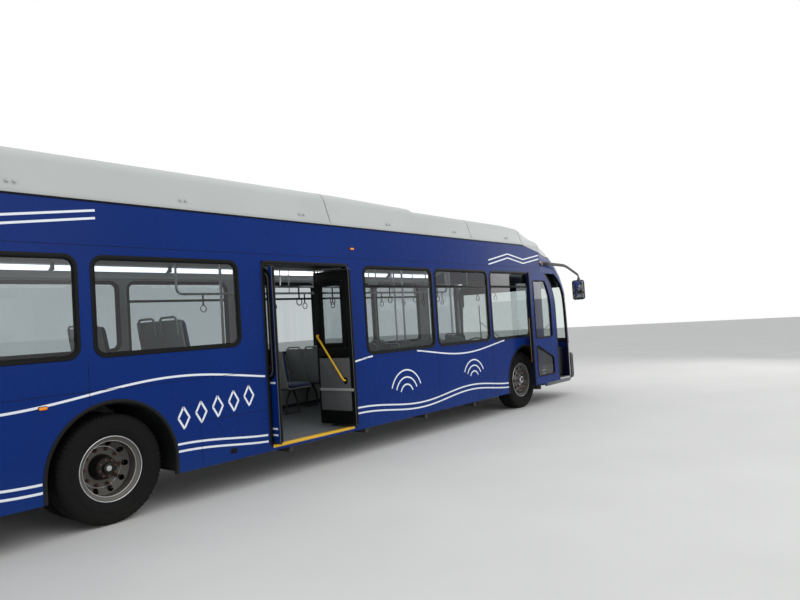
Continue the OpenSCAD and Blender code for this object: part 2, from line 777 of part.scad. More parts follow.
// Rear door: each leaf hangs between two cranks and stands across the doorway when open. Positions are
// taken from the low-X jamb; the crank is as long at the open place of its pin as at the shut place.
rear_edge_gap = 20;
rear_meeting_gap = 26;
leaf_w = (rear_door_w - 2 * rear_edge_gap - rear_meeting_gap) / 2;
shut_pin = [rear_edge_gap + crank_pin_at, -half_w + leaf_t / 2];
open_pin = [25 + leaf_t / 2, leaf_w - half_w - rear_leaf_out - crank_pin_at];
crank_y = (pow(open_pin[0] + shaft_behind, 2) - pow(shut_pin[0] + shaft_behind, 2)
    - pow(shut_pin[1], 2) + pow(open_pin[1], 2)) / (2 * (open_pin[1] - shut_pin[1]));
crank_end = open_pin - [-shaft_behind, crank_y];

// Placed for the leaf at the low-X jamb; the other one is its mirror image
module at_jamb(end) {
    if (end == "a") translate([rear_door_x0 - shaft_behind, crank_y, 0]) children();
    else translate([rear_door_x1 + shaft_behind, crank_y, 0]) mirror([1, 0, 0]) children();
}

rear_leaf_z0 = sill_z + 24;
rear_leaf_z1 = door_top_z - 44;
crank_t = 12;
crank_gap = 5;
crank_levels = [rear_leaf_z0 - crank_gap - crank_t, rear_leaf_z1 + crank_gap];
module rear_door_shaft(end) {
    color("dimgray") at_jamb(end) union() {
        rod([0, 0, floor_z + 3], "z", shaft_r, header_z + 22 - floor_z);
        for (z = crank_levels) translate([0, 0, z]) linear_extrude(crank_t) difference() {
            union() {
                bar([0, 0], crank_end, 16);
                circle(shaft_r + 8);
                translate(crank_end) circle(20);
            }
            translate(crank_end) circle(8.5);
        }
    }
}

// Part of the open leaf: u from its jamb edge outwards, d from its outer face inwards
module rear_leaf_slab(u0, u1, z0, z1, d, t) {
    block(crank_end[0] - leaf_t / 2 + d, crank_end[0] - leaf_t / 2 + d + t, crank_end[1] + crank_pin_at - u1,
        crank_end[1] + crank_pin_at - u0, z0, z1);
}

module rear_glass_cut(inset, d, t) {
    rear_leaf_slab(95 + inset, leaf_w - 95 - inset, 1180 + inset, rear_leaf_z1 - 95 - inset, d, t);
}

module rear_door_leaf(end) {
    color("dimgray") at_jamb(end) union() {
        difference() {
            rear_leaf_slab(0, leaf_w, rear_leaf_z0, rear_leaf_z1, 0, leaf_t);
            rear_glass_cut(0, -1, leaf_t + 2);
        }
        rod([crank_end[0], crank_end[1], crank_levels[0] - 1], "z", 8, crank_t + crank_gap + 20);
        rod([crank_end[0], crank_end[1], rear_leaf_z1 - 18], "z", 8, crank_t + crank_gap + 20);
    }
}

module rear_door_glass(end) {
    color("slategray") at_jamb(end) rear_glass_cut(0.3, leaf_t - 28, glass_t);
}

module rear_door_shaft_a() { rear_door_shaft("a"); }
module rear_door_shaft_b() { rear_door_shaft("b"); }
module rear_door_leaf_a() { rear_door_leaf("a"); }
module rear_door_leaf_b() { rear_door_leaf("b"); }
module rear_door_glass_a() { rear_door_glass("a"); }
module rear_door_glass_b() { rear_door_glass("b"); }

// Lamps
module head_lamps(gap) {
    for (side = [-1, 1], y = [760, 930]) rod([nose_x - 165, side * y, 690], "x", 70 + gap, 90 + gap * 200);
}

module clear_lamps() {
    color("white") difference() {
        head_lamps(0);
        front_form(-0.3);
    }
}

module signal_lamps() {
    color("orangered") {
        for (side = [-1, 1], z = [800, 960, 1120, 1280])
            rod([body_back - 58, side * 1130, z], "x", 62, 17.7);
        for (side = [-1, 1])
            side_block(side, rear_door_x1 + 99, rear_door_x1 + 169, half_w + 0.3, half_w + 14, 2640, 2668);
        difference() {
            for (side = [-1, 1])
                side_block(side, front_x + 787, front_x + 857, half_w - 60, half_w + 8, 2622, 2650);
            front_form(-0.3);
        }
    }
}

// Mirrors on arms that reach forward from the brow and hang down outside the windscreen
mirror_root_x = front_x + 858;
mirror_end_x = mirror_root_x + 1262;
mirror_y = half_w + 170;
module mirrors() {
    color("black") for (side = [-1, 1]) {
        path = [[mirror_root_x, side * (half_w - 20), 2608], [mirror_root_x + 130, side * (half_w + 60), 2612],
            [mirror_end_x - 440, side * (half_w + 100), 2590], [mirror_end_x, side * mirror_y, 2400],
            [mirror_end_x, side * mirror_y, 2280]];
        difference() {
            union() {
                for (i = [1:len(path) - 1]) arm_tube(path[i - 1], path[i]);
                for (i = [1:len(path) - 2]) translate(path[i]) sphere(20);
            }
            front_form(-0.3);
            block(mirror_root_x - 100, nose_x, -half_w + 8, half_w - 8, 2500, 2700);
        }
        translate([mirror_end_x - 60, side * mirror_y - 130, 1900]) linear_extrude(400)
            round_rect(0, 110, 0, 260, 40);
    }
}

module arm_tube(p, q) {
    d = q - p;
    translate(p) rotate([0, acos(d[2] / norm(d)), atan2(d[1], d[0])]) cylinder(r = 17, h = norm(d));
}

// Dashboard and its front shelf, cut to the inside of the front
module dash() {
    color("dimgray") intersection() {
        front_form(wall_t + 0.3, 60);
        union() {
            block(mask_x - 350, body_front, 120, in_w - 60, floor_z + 0.3, 1040);
            block(mask_x - 20, body_front, -in_w + 120, 130, floor_z + 0.3, 1000);
        }
    }
}

wheel_x = mask_x - 420;
wheel_tilt = 25;
steer_y = 690;
module steering_wheel() {
    color("black") translate([wheel_x, steer_y, 1130]) rotate([0, -wheel_tilt, 0]) union() {
        rotate_extrude() translate([225, 0]) circle(15, $fn = 32);
        translate([0, 0, -30]) cylinder(r = 60, h = 35);
        for (a = [90, 210, 330]) rotate(a) translate([30, -14, -12]) cube([190, 28, 14]);
    }
}

// Seat with a reclined back, on a pedestal with a foot plate
seat_profile = [[230, 380], [230, 450], [-165, 450], [-255, 960], [-318, 960], [-225, 430], [-200, 380]];
module seat(x, y, z, w, turn = 0) {
    translate([x, y, z]) rotate([0, 0, turn]) union() {
        translate([0, w / 2, 0]) rotate([90, 0, 0]) linear_extrude(w) polygon(seat_profile);
        block(-60, 60, -60, 60, 5, 390);
        block(-140, 140, -120, 120, 0.3, 12);
    }
}

module driver_seat() {
    color("darkslategray") seat(front_x + 1020, steer_y, floor_z, 500);
}

seat_w = 840;
seat_y = in_w - 2 - seat_w / 2;
side_seat_w = 430;
side_seat_pitch = 450;
module passenger_seats() {
    color("navy") {
        for (x = [rear_x - 1750, rear_x + 1100], side = [-1, 1])
            seat(x, side * seat_y, high_floor_z, seat_w);
        for (x = [rear_x + 3800, rear_x + 4600, rear_x + 5400, rear_x + 6200], side = [-1, 1])
            seat(x, side * seat_y, floor_z, seat_w);
        // Row along the street side, facing the rear doorway
        for (i = [0:2])
            seat(rear_door_x0 + 230 + i * side_seat_pitch, in_w - 2 - 318, floor_z, side_seat_w, -90);
    }
}

module grab_rails() {
    color("gold") for (x = [rear_x + 3560, rear_x + 5100, rear_x + 6400], side = [-1, 1])
        rod([x, side * (seat_y - seat_w / 2 - 43), floor_z + 0.3], "z", 16, 2330 - floor_z);
}

module ceiling() {
    color("whitesmoke") for (side = [-1, 1])
        block(body_back + 30, front_jamb_x - 60, side > 0 ? 760 : -in_w + 0.3, side > 0 ? in_w - 0.3 : -760,
            2700, 2740);
}

underframe();
floor();
kerb_side();
street_side();
roof();
roof_fairing();
gas_tanks();
front_mask();
rear_end();
bumpers();
window_glass();
windscreen();
window_frames();
arch_trims();
clear_lamps();
signal_lamps();
dash();
driver_seat();
passenger_seats();
grab_rails();
ceiling();
engine();
front_axle();
rear_axle();
mirrors();
steering_wheel();
knuckle_kerb();
knuckle_street();
tie_rod();
rim_front_kerb();
tyre_front_kerb();
rim_front_street();
tyre_front_street();
rims_rear_kerb();
tyres_rear_kerb();
rims_rear_street();
tyres_rear_street();
front_door_shaft();
front_door_leaf();
front_door_glass();
rear_door_shaft_a();
rear_door_leaf_a();
rear_door_glass_a();
rear_door_shaft_b();
rear_door_leaf_b();
rear_door_glass_b();
engine_door();
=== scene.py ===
import json
import math

import bpy
import numpy as np
from mathutils import Matrix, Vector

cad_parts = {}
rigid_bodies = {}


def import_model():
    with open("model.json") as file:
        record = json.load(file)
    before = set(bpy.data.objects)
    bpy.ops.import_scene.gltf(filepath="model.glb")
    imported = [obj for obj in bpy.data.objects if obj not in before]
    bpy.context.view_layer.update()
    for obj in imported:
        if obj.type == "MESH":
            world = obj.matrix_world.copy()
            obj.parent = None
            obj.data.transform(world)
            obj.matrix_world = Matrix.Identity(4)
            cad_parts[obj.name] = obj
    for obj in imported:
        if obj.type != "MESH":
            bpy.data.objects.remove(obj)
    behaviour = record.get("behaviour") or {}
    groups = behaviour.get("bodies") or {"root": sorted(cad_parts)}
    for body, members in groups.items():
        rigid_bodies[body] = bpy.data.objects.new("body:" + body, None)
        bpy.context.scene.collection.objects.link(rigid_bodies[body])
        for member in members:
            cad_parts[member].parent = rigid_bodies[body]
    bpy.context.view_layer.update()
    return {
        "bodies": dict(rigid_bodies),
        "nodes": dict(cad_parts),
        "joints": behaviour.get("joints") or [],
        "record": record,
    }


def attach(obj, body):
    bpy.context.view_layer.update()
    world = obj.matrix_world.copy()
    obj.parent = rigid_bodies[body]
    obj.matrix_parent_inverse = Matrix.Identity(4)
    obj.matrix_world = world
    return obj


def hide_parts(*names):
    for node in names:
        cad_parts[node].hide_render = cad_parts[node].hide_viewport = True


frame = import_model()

nodes = frame["nodes"]
print("frame loaded:", len(nodes), "CAD nodes")

# Stations of the bus in metres, the same as the CAD source's: +X front, -Y kerb side
bus = dict(halfW=1.295, inW=1.245, rearX=-3.51, frontX=4.14, noseX=6.44, bodyBack=-6.35, bodyFront=6.275,
           skirtZ=0.332, roofTop=3.061, totalH=3.39, floorZ=0.385, highFloorZ=0.88, stepX=-1.95,
           jambX=4.92, postX=5.92, maskX=5.925, frontStart=4.925, doorX0=-1.70, doorX1=-0.375, sillZ=0.39,
           doorTopZ=2.43, windowR=0.12, tyreR=0.5, rimR=0.299, archR=0.62)

# Windows as [near edge, far edge, sill, top] in metres along the bus
kerbWindows = [[-6.07, -5.06, 1.513, 2.448], [-5.01, -3.778, 1.513, 2.448],
               [-3.671, -2.048, 1.513, 2.448], [-0.061, 1.476, 1.262, 2.448],
               [1.523, 3.035, 1.262, 2.448], [3.082, 4.439, 1.262, 2.448]]
driverWindow = [4.72, 5.82, 1.18, 2.428]
streetWindows = kerbWindows[:3] + [[-1.95, -0.33, 1.262, 2.448]] + kerbWindows[3:] + [driverWindow]


# sRGB hex to linear light: a straight part near black and a 2.4 power above it
def linearHex(text, alpha=1.0):
    srgb = np.array([int(text[i:i + 2], 16) / 255 for i in (1, 3, 5)])
    linear = np.where(srgb <= 0.04045, srgb / 12.92, ((srgb + 0.055) / 1.055) ** 2.4)
    return (*linear.tolist(), alpha)


# Adds a node; sockets maps an input's name or number to a value or to the output that feeds it
def addNode(tree, kind, sockets=None, **settings):
    node = tree.nodes.new("ShaderNode" + kind)
    for key, value in settings.items():
        setattr(node, key, value)
    for key, value in (sockets or {}).items():
        if isinstance(value, bpy.types.NodeSocket):
            tree.links.new(value, node.inputs[key])
        else:
            node.inputs[key].default_value = value
    return node


# An empty material with its node tree, its surface shader and its output
def newMaterial(name):
    material = bpy.data.materials.new(name)
    material.use_nodes = True
    tree = material.node_tree
    return material, tree, tree.nodes["Principled BSDF"], tree.nodes["Material Output"]


# Most finishes: two close colours mixed by soft noise, roughness that follows finer noise, and a
# bump of the grain's own height. A film of another colour lies below a height in metres: dust on most
# finishes, and on the blue enamel dust together with a painted reflection of the pale road.
def surfaceMaterial(name, light, dark, patchMm, grainMm, roughness, spread=0.08, bumpMm=0.0, metallic=0.0,
                    coat=0.0, coatRoughness=0.05, dustAndPaintedLight=None, speckle=None, inside=None, specular=0.5):
    material, tree, shader, _ = newMaterial(name)
    place = addNode(tree, "TexCoord").outputs["Object"]
    patch = addNode(tree, "TexNoise", {"Vector": place, "Scale": 1000 / patchMm, "Detail": 3.0})
    grain = addNode(tree, "TexNoise", {"Vector": place, "Scale": 1000 / grainMm, "Detail": 2.0})
    mixed = addNode(tree, "Mix", {0: patch.outputs["Fac"], 6: linearHex(dark), 7: linearHex(light)},
                    data_type="RGBA")
    colour = mixed.outputs[2]
    if speckle:
        spotHex, spotMm, share = speckle
        cells = addNode(tree, "TexVoronoi", {"Vector": place, "Scale": 1000 / spotMm})
        spots = addNode(tree, "MapRange", {0: cells.outputs["Distance"], 1: share, 2: share * 0.6})
        colour = addNode(tree, "Mix", {0: spots.outputs[0], 6: colour, 7: linearHex(spotHex)},
                         data_type="RGBA").outputs[2]
    rough = addNode(tree, "MapRange", {0: grain.outputs["Fac"], 1: 0.3, 2: 0.7,
                                       3: max(roughness - spread, 0.02), 4: roughness + spread})
    roughOut = rough.outputs[0]
    # On the bus enamel this film is partly painted light: its paler blue paints the pale road's reflection
    # low down
    if dustAndPaintedLight:
        dustAndLightHex, top, bottom, amount = dustAndPaintedLight
        height = addNode(tree, "SeparateXYZ", {0: place}).outputs["Z"]
        film = addNode(tree, "MapRange", {0: height, 1: top, 2: bottom, 3: 0.0, 4: amount})
        broken = addNode(tree, "Math", {0: film.outputs[0], 1: patch.outputs["Fac"]}, operation="MULTIPLY")
        colour = addNode(tree, "Mix", {0: broken.outputs[0], 6: colour, 7: linearHex(dustAndLightHex)},
                         data_type="RGBA").outputs[2]
        roughOut = addNode(tree, "Math", {0: broken.outputs[0], 1: 0.35, 2: roughOut},
                           operation="MULTIPLY_ADD").outputs[0]
    if inside:
        insideHex, limit = inside
        sideways = addNode(tree, "SeparateXYZ", {0: place}).outputs["Y"]
        across = addNode(tree, "Math", {0: sideways}, operation="ABSOLUTE")
        within = addNode(tree, "Math", {0: across.outputs[0], 1: limit}, operation="LESS_THAN")
        colour = addNode(tree, "Mix", {0: within.outputs[0], 6: colour, 7: linearHex(insideHex)},
                         data_type="RGBA").outputs[2]
    tree.links.new(colour, shader.inputs["Base Color"])
    tree.links.new(roughOut, shader.inputs["Roughness"])
    if bumpMm:
        bump = addNode(tree, "Bump", {"Height": grain.outputs["Fac"], "Distance": bumpMm / 1000})
        tree.links.new(bump.outputs[0], shader.inputs["Normal"])
    shader.inputs["Metallic"].default_value = metallic
    shader.inputs["Specular IOR Level"].default_value = specular
    shader.inputs["Coat Weight"].default_value = coat
    shader.inputs["Coat Roughness"].default_value = coatRoughness
    return material


# Two-pack enamel sprayed on steel and aluminium panels: an even blue with a smooth satin sheen, and a
# paler blue film that thickens towards the skirt, road dust together with a painted reflection of the pale
# road
enamel = dict(coat=0.02, dustAndPaintedLight=("#2c4673", 0.7, 0.33, 0.35), specular=0.08)
busPaint = surfaceMaterial("twoPackBusEnamel", "#0c2e76", "#0a2767", 1400, 60, 0.24, 0.04, **enamel)
# The side walls carry the same enamel outside and a pale melamine lining inside
wallPaint = surfaceMaterial("twoPackBusEnamelAndLining", "#0c2e76", "#0a2767", 1400, 60, 0.24, 0.04,
                            inside=("#8f9190", 1.262), **enamel)
# Sprayed glass-fibre fairing: satin pale grey-white with rain dirt in soft patches
fairingPaint = surfaceMaterial("gelcoatFairing", "#b4b7b5", "#a6a9a7", 900, 60, 0.4, 0.06, specular=0.3)
# Melamine-faced lining board: plain pale grey, a dull sheen and no grain to speak of
liningPanel = surfaceMaterial("melamineLining", "#a8aaa8", "#9b9d9b", 500, 6, 0.42, 0.06, 0.02)
# White vinyl film cut for lines on the paint: flat, a little softer in gloss than the paint
filmLine = surfaceMaterial("cutVinylFilm", "#e9edf2", "#dfe4ea", 300, 8, 0.35, 0.04)
# Black enamel baked on frames: near black, with soft highlights that show the rounded edges
blackEnamel = surfaceMaterial("satinBlackEnamel", "#0b0c0d", "#070808", 200, 6, 0.4, 0.08, 0.02,
                              specular=0.15)
# Extruded EPDM rubber: a dull black line between two glossier surfaces
sealRubber = surfaceMaterial("extrudedEpdmSeal", "#0b0c0c", "#070707", 120, 4, 0.62, 0.08, 0.05,
                             specular=0.15)
# Moulded rubber lips and liners: charcoal, faintly rough, grey with dust towards the road
archRubber = surfaceMaterial("mouldedArchRubber", "#111213", "#0b0c0d", 160, 5, 0.65, 0.1, 0.08,
                             dustAndPaintedLight=("#3b3a37", 0.6, 0.33, 0.3), specular=0.2)
# Polyurethane moulded in a grained tool: dark grey all through, matt where the grain catches dust
bumperSkin = surfaceMaterial("mouldedPolyurethane", "#202226", "#17191c", 250, 4, 0.5, 0.08, 0.08,
                             dustAndPaintedLight=("#5a5a58", 0.7, 0.35, 0.35))
# Brushed-on chassis paint: thick, uneven and nearly matt, brown-grey with dirt low down
chassisPaint = surfaceMaterial("chassisPaint", "#2a2c2e", "#1c1d1f", 180, 12, 0.6, 0.12, 0.2,
                               dustAndPaintedLight=("#6b6459", 0.9, 0.1, 0.5))
# Cast iron and alloy as it leaves the sand: coarse, patchy grey with a weak metal gleam
castMetal = surfaceMaterial("castIronAndAlloy", "#6f7173", "#4e4f51", 120, 5, 0.5, 0.12, 0.3, metallic=0.7)
# Tyre rubber: dark grey with brown road dust in the tread and a dull sidewall
tyreRubber = surfaceMaterial("tyreRubber", "#121212", "#0b0b0b", 60, 5, 0.82, 0.08, 0.15,
                             dustAndPaintedLight=("#3a362f", 0.25, 0.0, 0.3), specular=0.18)
# Wheel enamel worn thin on pressed steel: warm grey with a little gleam and brake dust below
rimPaint = surfaceMaterial("wheelEnamel", "#6f6c67", "#54514c", 90, 5, 0.5, 0.1, 0.1, metallic=0.45,
                           dustAndPaintedLight=("#3a3229", 1.0, 0.1, 0.5))
# Steel wheel nuts with a thin coat of rust over worn zinc
rustyNut = surfaceMaterial("rustedWheelNut", "#6b4236", "#43302a", 12, 2, 0.7, 0.1, 0.2, metallic=0.2)
# Bright rim edges: worn polished steel that catches the light as a thin ring
brightSteel = surfaceMaterial("polishedRimEdge", "#c9cbcd", "#a9abad", 60, 4, 0.25, 0.08, 0.03, metallic=0.95)
# Hub casting under grease: almost black, with a wet gleam on its rounded parts
darkHub = surfaceMaterial("greasyHubCasting", "#232220", "#141312", 40, 5, 0.5, 0.12, 0.3, metallic=0.6)
# ABS moulded with a leather grain: charcoal without a clear highlight
dashPlastic = surfaceMaterial("grainedAbs", "#2b2c2f", "#222326", 200, 2.5, 0.6, 0.08, 0.12)
# Stainless tube, brushed: bright, with long soft highlights
stainlessTube = surfaceMaterial("brushedStainless", "#c3c5c6", "#b0b2b3", 50, 3, 0.28, 0.08, metallic=1.0)
# Yellow powder coat on tube: strong warm yellow with a smooth gloss
yellowTube = surfaceMaterial("yellowPowderCoat", "#e3b20f", "#d6a50a", 200, 3, 0.35, 0.06, 0.03, coat=0.2)
# Door leaf in grey-sprayed aluminium: mid grey and satin, with a dusty foot
doorPanel = surfaceMaterial("greyDoorPanel", "#67686a", "#57585a", 250, 5, 0.4, 0.08, 0.03,
                            dustAndPaintedLight=("#4a4a46", 0.8, 0.4, 0.4))
# Wound glass fibre in resin round the gas tanks: straw-coloured, lightly ribbed and satin
tankWrap = surfaceMaterial("woundComposite", "#c9c6b4", "#a9a691", 60, 4, 0.5, 0.08, 0.1)
# Moulded mirror shell: dark grey plastic, a fine grain and a broad soft highlight
mirrorShell = surfaceMaterial("mouldedMirrorShell", "#1a1b1d", "#131415", 150, 3, 0.48, 0.07, 0.06)
# Slip-resistant vinyl: mid grey with pale and dark flecks about 4 mm across
floorVinyl = surfaceMaterial("fleckedVinyl", "#5e6164", "#515457", 300, 3, 0.55, 0.08, 0.05,
                             speckle=("#a4a7aa", 9, 0.35))
# Seat shells: pale grey moulded plastic, matt, so each seat shows a light rim round its dark pads
shellPlastic = surfaceMaterial("paleSeatShell", "#9a9d9a", "#8c8f8c", 260, 4, 0.5, 0.08, 0.06)
# Nylon bristles under the door: black and rough, without any highlight
bristleMat = surfaceMaterial("nylonBrush", "#1b1b1b", "#0d0d0d", 8, 2, 0.85, 0.05, 0.6)


# Toughened glass with a dark body tint: what is behind shows darker, and the surface mirrors by Fresnel
def glassMaterial(name, tintHex, gloss=0.02):
    material, tree, shader, out = newMaterial(name)
    tree.nodes.remove(shader)
    through = addNode(tree, "BsdfTransparent", {"Color": linearHex(tintHex)})
    mirror = addNode(tree, "BsdfGlossy", {"Color": linearHex("#ffffff"), "Roughness": gloss})
    # A ray goes straight through, so the face it leaves by has an index of 1 and mirrors nothing
    leaving = addNode(tree, "NewGeometry").outputs["Backfacing"]
    index = addNode(tree, "Math", {0: leaving, 1: -0.5, 2: 1.5}, operation="MULTIPLY_ADD")
    fresnel = addNode(tree, "Fresnel", {"IOR": index.outputs[0]})
    mixed = addNode(tree, "MixShader", {0: fresnel.outputs[0], 1: through.outputs[0], 2: mirror.outputs[0]})
    tree.links.new(mixed.outputs[0], out.inputs["Surface"])
    return material


# Toughened side glass: a grey veil over the cabin and a clear mirror image at a glance
tintedGlass = glassMaterial("darkTintedGlass", "#dce0e1")
# Laminated windscreen: almost clear, with the faint green of plain glass
screenGlass = glassMaterial("laminatedScreen", "#eff3f1")
# Clear polycarbonate over the lamps: see-through with sharp highlights
lensClear = glassMaterial("clearPolycarbonate", "#eef1f2")


# Lens or light strip: the plastic's own colour over faint ribs, with a glow of its own, which is a lamp's
# light on a strip and a painted glow on an unlit lens
def glowMaterial(name, bodyHex, glowHex, strength, roughness=0.25):
    material, tree, shader, _ = newMaterial(name)
    place = addNode(tree, "TexCoord").outputs["Object"]
    ribs = addNode(tree, "TexWave", {"Vector": place, "Scale": 40.0, "Distortion": 0.5})
    tone = addNode(tree, "MapRange", {0: ribs.outputs["Fac"], 3: 0.85, 4: 1.0})
    body = addNode(tree, "Mix", {0: tone.outputs[0], 6: (0, 0, 0, 1), 7: linearHex(bodyHex)},
                   data_type="RGBA")
    tree.links.new(body.outputs[2], shader.inputs["Base Color"])
    shader.inputs["Roughness"].default_value = roughness
    shader.inputs["Coat Weight"].default_value = 0.4
    shader.inputs["Emission Color"].default_value = linearHex(glowHex)
    shader.inputs["Emission Strength"].default_value = strength
    return material


# Opal acrylic with tubes behind it: an even, cool white glow
lightStrip = glowMaterial("opalCeilingStrip", "#f4f7fa", "#f2f7ff", 2.6)
# Ribbed acrylic lenses, unlit: deep amber and red with a faint painted glow, so that they seem lit from
# within
amberLens = glowMaterial("amberLens", "#e8820f", "#ff8a10", 0.15)
redLens = glowMaterial("redLens", "#b3130d", "#c01008", 0.1)
# Aluminium vapour on moulded plastic: bright as a mirror, a little blurred
lampBowl = surfaceMaterial("metallisedReflector", "#e4e6e8", "#d5d7d9", 60, 5, 0.12, 0.04, metallic=1.0)
# Ceramic black print on glass: near black under a glassy coat
blankSign = surfaceMaterial("signMask", "#121316", "#0c0d0f", 100, 3, 0.3, 0.05, coat=0.3)


# Woven wool moquette: dark blue with a small woven check of paler threads, 14 mm repeat
def moquetteMaterial():
    material, tree, shader, _ = newMaterial("wovenMoquette")
    place = addNode(tree, "TexCoord").outputs["Object"]
    dark, pale = linearHex("#1d2a4a"), linearHex("#25365e")
    check = addNode(tree, "TexChecker", {"Vector": place, "Scale": 70.0, "Color1": dark, "Color2": pale})
    pile = addNode(tree, "TexNoise", {"Vector": place, "Scale": 420.0, "Detail": 3.0})
    fleck = addNode(tree, "TexVoronoi", {"Vector": place, "Scale": 55.0})
    spots = addNode(tree, "MapRange", {0: fleck.outputs["Distance"], 1: 0.22, 2: 0.12})
    mixed = addNode(tree, "Mix", {0: spots.outputs[0], 6: check.outputs["Color"], 7: linearHex("#5d7199")},
                    data_type="RGBA")
    shade = addNode(tree, "Mix", {0: 0.45, 6: mixed.outputs[2], 7: pile.outputs["Color"]},
                    data_type="RGBA", blend_type="OVERLAY")
    bump = addNode(tree, "Bump", {"Height": pile.outputs["Fac"], "Distance": 0.0012})
    tree.links.new(shade.outputs[2], shader.inputs["Base Color"])
    tree.links.new(bump.outputs[0], shader.inputs["Normal"])
    shader.inputs["Roughness"].default_value = 0.9
    shader.inputs["Sheen Weight"].default_value = 0.25
    return material


moquette = moquetteMaterial()
print("materials made")


# Mesh building: a part is (points, quads, triangles)
noTriangles = np.zeros((0, 3), int)


# A grid of points: each cell joins four neighbours, and a wrapped side joins its last row to its first
def gridPart(points, wrapU=False, wrapV=False):
    rows, columns = points.shape[:2]
    i = np.arange(rows if wrapU else rows - 1)[:, None]
    j = np.arange(columns if wrapV else columns - 1)[None, :]
    corners = [i * columns + j, i * columns + (j + 1) % columns,
               (i + 1) % rows * columns + (j + 1) % columns, (i + 1) % rows * columns + j]
    return points.reshape(-1, 3), np.stack(corners, -1).reshape(-1, 4), noTriangles


# Closed rings stacked along a path, with a fan of triangles to the middle of the first and last ring
def loftPart(rings, loop=False):
    points, quads, _ = gridPart(rings, wrapU=loop, wrapV=True)
    if loop:
        return points, quads, noTriangles
    count, size = len(points), rings.shape[1]
    k = np.arange(size)
    ahead = (k + 1) % size
    last = count - size
    first = np.stack([ahead, k, np.full(size, count)], 1)
    final = np.stack([last + k, last + ahead, np.full(size, count + 1)], 1)
    middles = np.stack([rings[0].mean(0), rings[-1].mean(0)])
    return np.vstack([points, middles]), quads, np.vstack([first, final])


# Unit vectors along a path, from each point's two neighbours
def tangents(path, loop=False):
    if loop:
        step = np.roll(path, -1, 0) - np.roll(path, 1, 0)
    else:
        step = np.gradient(path, axis=0)
    return step / np.linalg.norm(step, axis=1)[:, None]


# A profile (a, b) carried along a path: a runs square to the path and to up, b along up's side.
# At a bend a is stretched by one over the cosine of half the turn, so the strip keeps its width.
def sweepPart(path, profile, up=(0, 0, 1), loop=False, scale=None):
    path, profile = np.asarray(path, float), np.asarray(profile, float)
    along = tangents(path, loop)
    side = np.cross(along, up)
    side /= np.linalg.norm(side, axis=1)[:, None]
    top = np.cross(side, along)
    ahead = np.roll(path, -1, 0) - path
    if not loop:
        ahead[-1] = ahead[-2]
    ahead /= np.linalg.norm(ahead, axis=1)[:, None]
    stretch = 1 / np.clip((along * ahead).sum(1), 0.5, 1)
    size = np.ones(len(path)) if scale is None else np.asarray(scale)
    rings = (path[:, None] + side[:, None] * profile[None, :, :1] * (stretch * size)[:, None, None]
             + top[:, None] * profile[None, :, 1:] * size[:, None, None])
    return loftPart(rings, loop)


# A closed or open (radius, distance) profile turned about an axis through centre
def lathePart(profile, centre, axis="y", steps=72, loop=False, shape=None):
    profile = np.asarray(profile, float)
    angle = np.arange(steps) * 2 * np.pi / steps
    radius = profile[:, :1] * np.ones(steps)
    if shape is not None:
        radius = shape(radius, profile[:, 1:] * np.ones(steps), angle)
    u, v, w = radius * np.cos(angle), radius * np.sin(angle), profile[:, 1:] * np.ones(steps)
    order = {"x": (w, u, v), "y": (v, w, u), "z": (u, v, w)}[axis]
    return loftPart(np.stack(order, -1) + np.asarray(centre, float), loop)


# Points of a rectangle with round corners, counter-clockwise, steps points in each quarter
def roundRing(a0, a1, b0, b1, r, steps=6):
    r = min(r, (a1 - a0) / 2 - 1e-5, (b1 - b0) / 2 - 1e-5)
    quarter = np.linspace(0, np.pi / 2, steps)
    centres = [(a1 - r, b1 - r, 0), (a0 + r, b1 - r, 1), (a0 + r, b0 + r, 2), (a1 - r, b0 + r, 3)]
    return np.vstack([np.stack([a + r * np.cos(quarter + k * np.pi / 2),
                                b + r * np.sin(quarter + k * np.pi / 2)], 1) for a, b, k in centres])


# Points of a circle of radius r: (r cos t, r sin t)
def circleRing(r, steps=16):
    angle = np.arange(steps) * 2 * np.pi / steps
    return np.stack([r * np.cos(angle), r * np.sin(angle)], 1)


planes = {"xz": (0, 2, 1), "yz": (1, 2, 0), "xy": (0, 1, 2)}  # a, b and the axis across them


# Puts flat points (a, b) into space, at depth d along the axis across the plane
def inPlane(ring, plane, depth):
    a, b, c = planes[plane]
    out = np.zeros((len(ring), 3))
    out[:, a], out[:, b], out[:, c] = ring[:, 0], ring[:, 1], depth
    return out


# A block whose every edge is rounded by r: stacked round rectangles that shrink by r(1 - sin t)
# while they move by r(1 - cos t) at both ends
def blockPart(low, high, r=0.006, plane="xy", cornerR=None, steps=4):
    a, b, c = planes[plane]
    r = min(r, (high[c] - low[c]) / 2 - 1e-5)
    t = np.linspace(0, np.pi / 2, 4)
    inset = np.concatenate([r * (1 - np.sin(t)), r * (1 - np.cos(t))])
    depth = np.concatenate([low[c] + r * (1 - np.cos(t)), high[c] - r * (1 - np.sin(t))])
    corner = cornerR if cornerR is not None else r
    rings = [inPlane(roundRing(low[a] + k, high[a] - k, low[b] + k, high[b] - k, max(corner - k, 0.0006),
                               steps), plane, d) for k, d in zip(inset, depth)]
    return loftPart(np.stack(rings))


# The same block between any two opposite corners, so that a side's sign can stand in them
def slabPart(corner, opposite, *settings):
    return blockPart(np.minimum(corner, opposite), np.maximum(corner, opposite), *settings)


# A line through the points with each inner corner turned on an arc of radius r
def bentPath(points, r, steps=6):
    points = np.asarray(points, float)
    out = [points[:1]]
    for before, corner, after in zip(points, points[1:], points[2:]):
        u, v = before - corner, after - corner
        reach = min(r, np.linalg.norm(u) / 2.1, np.linalg.norm(v) / 2.1)
        start, end = corner + u / np.linalg.norm(u) * reach, corner + v / np.linalg.norm(v) * reach
        t = np.linspace(0, 1, steps)[:, None]
        out.append((1 - t) ** 2 * start + 2 * t * (1 - t) * corner + t ** 2 * end)
    out.append(points[-1:])
    return np.vstack(out)


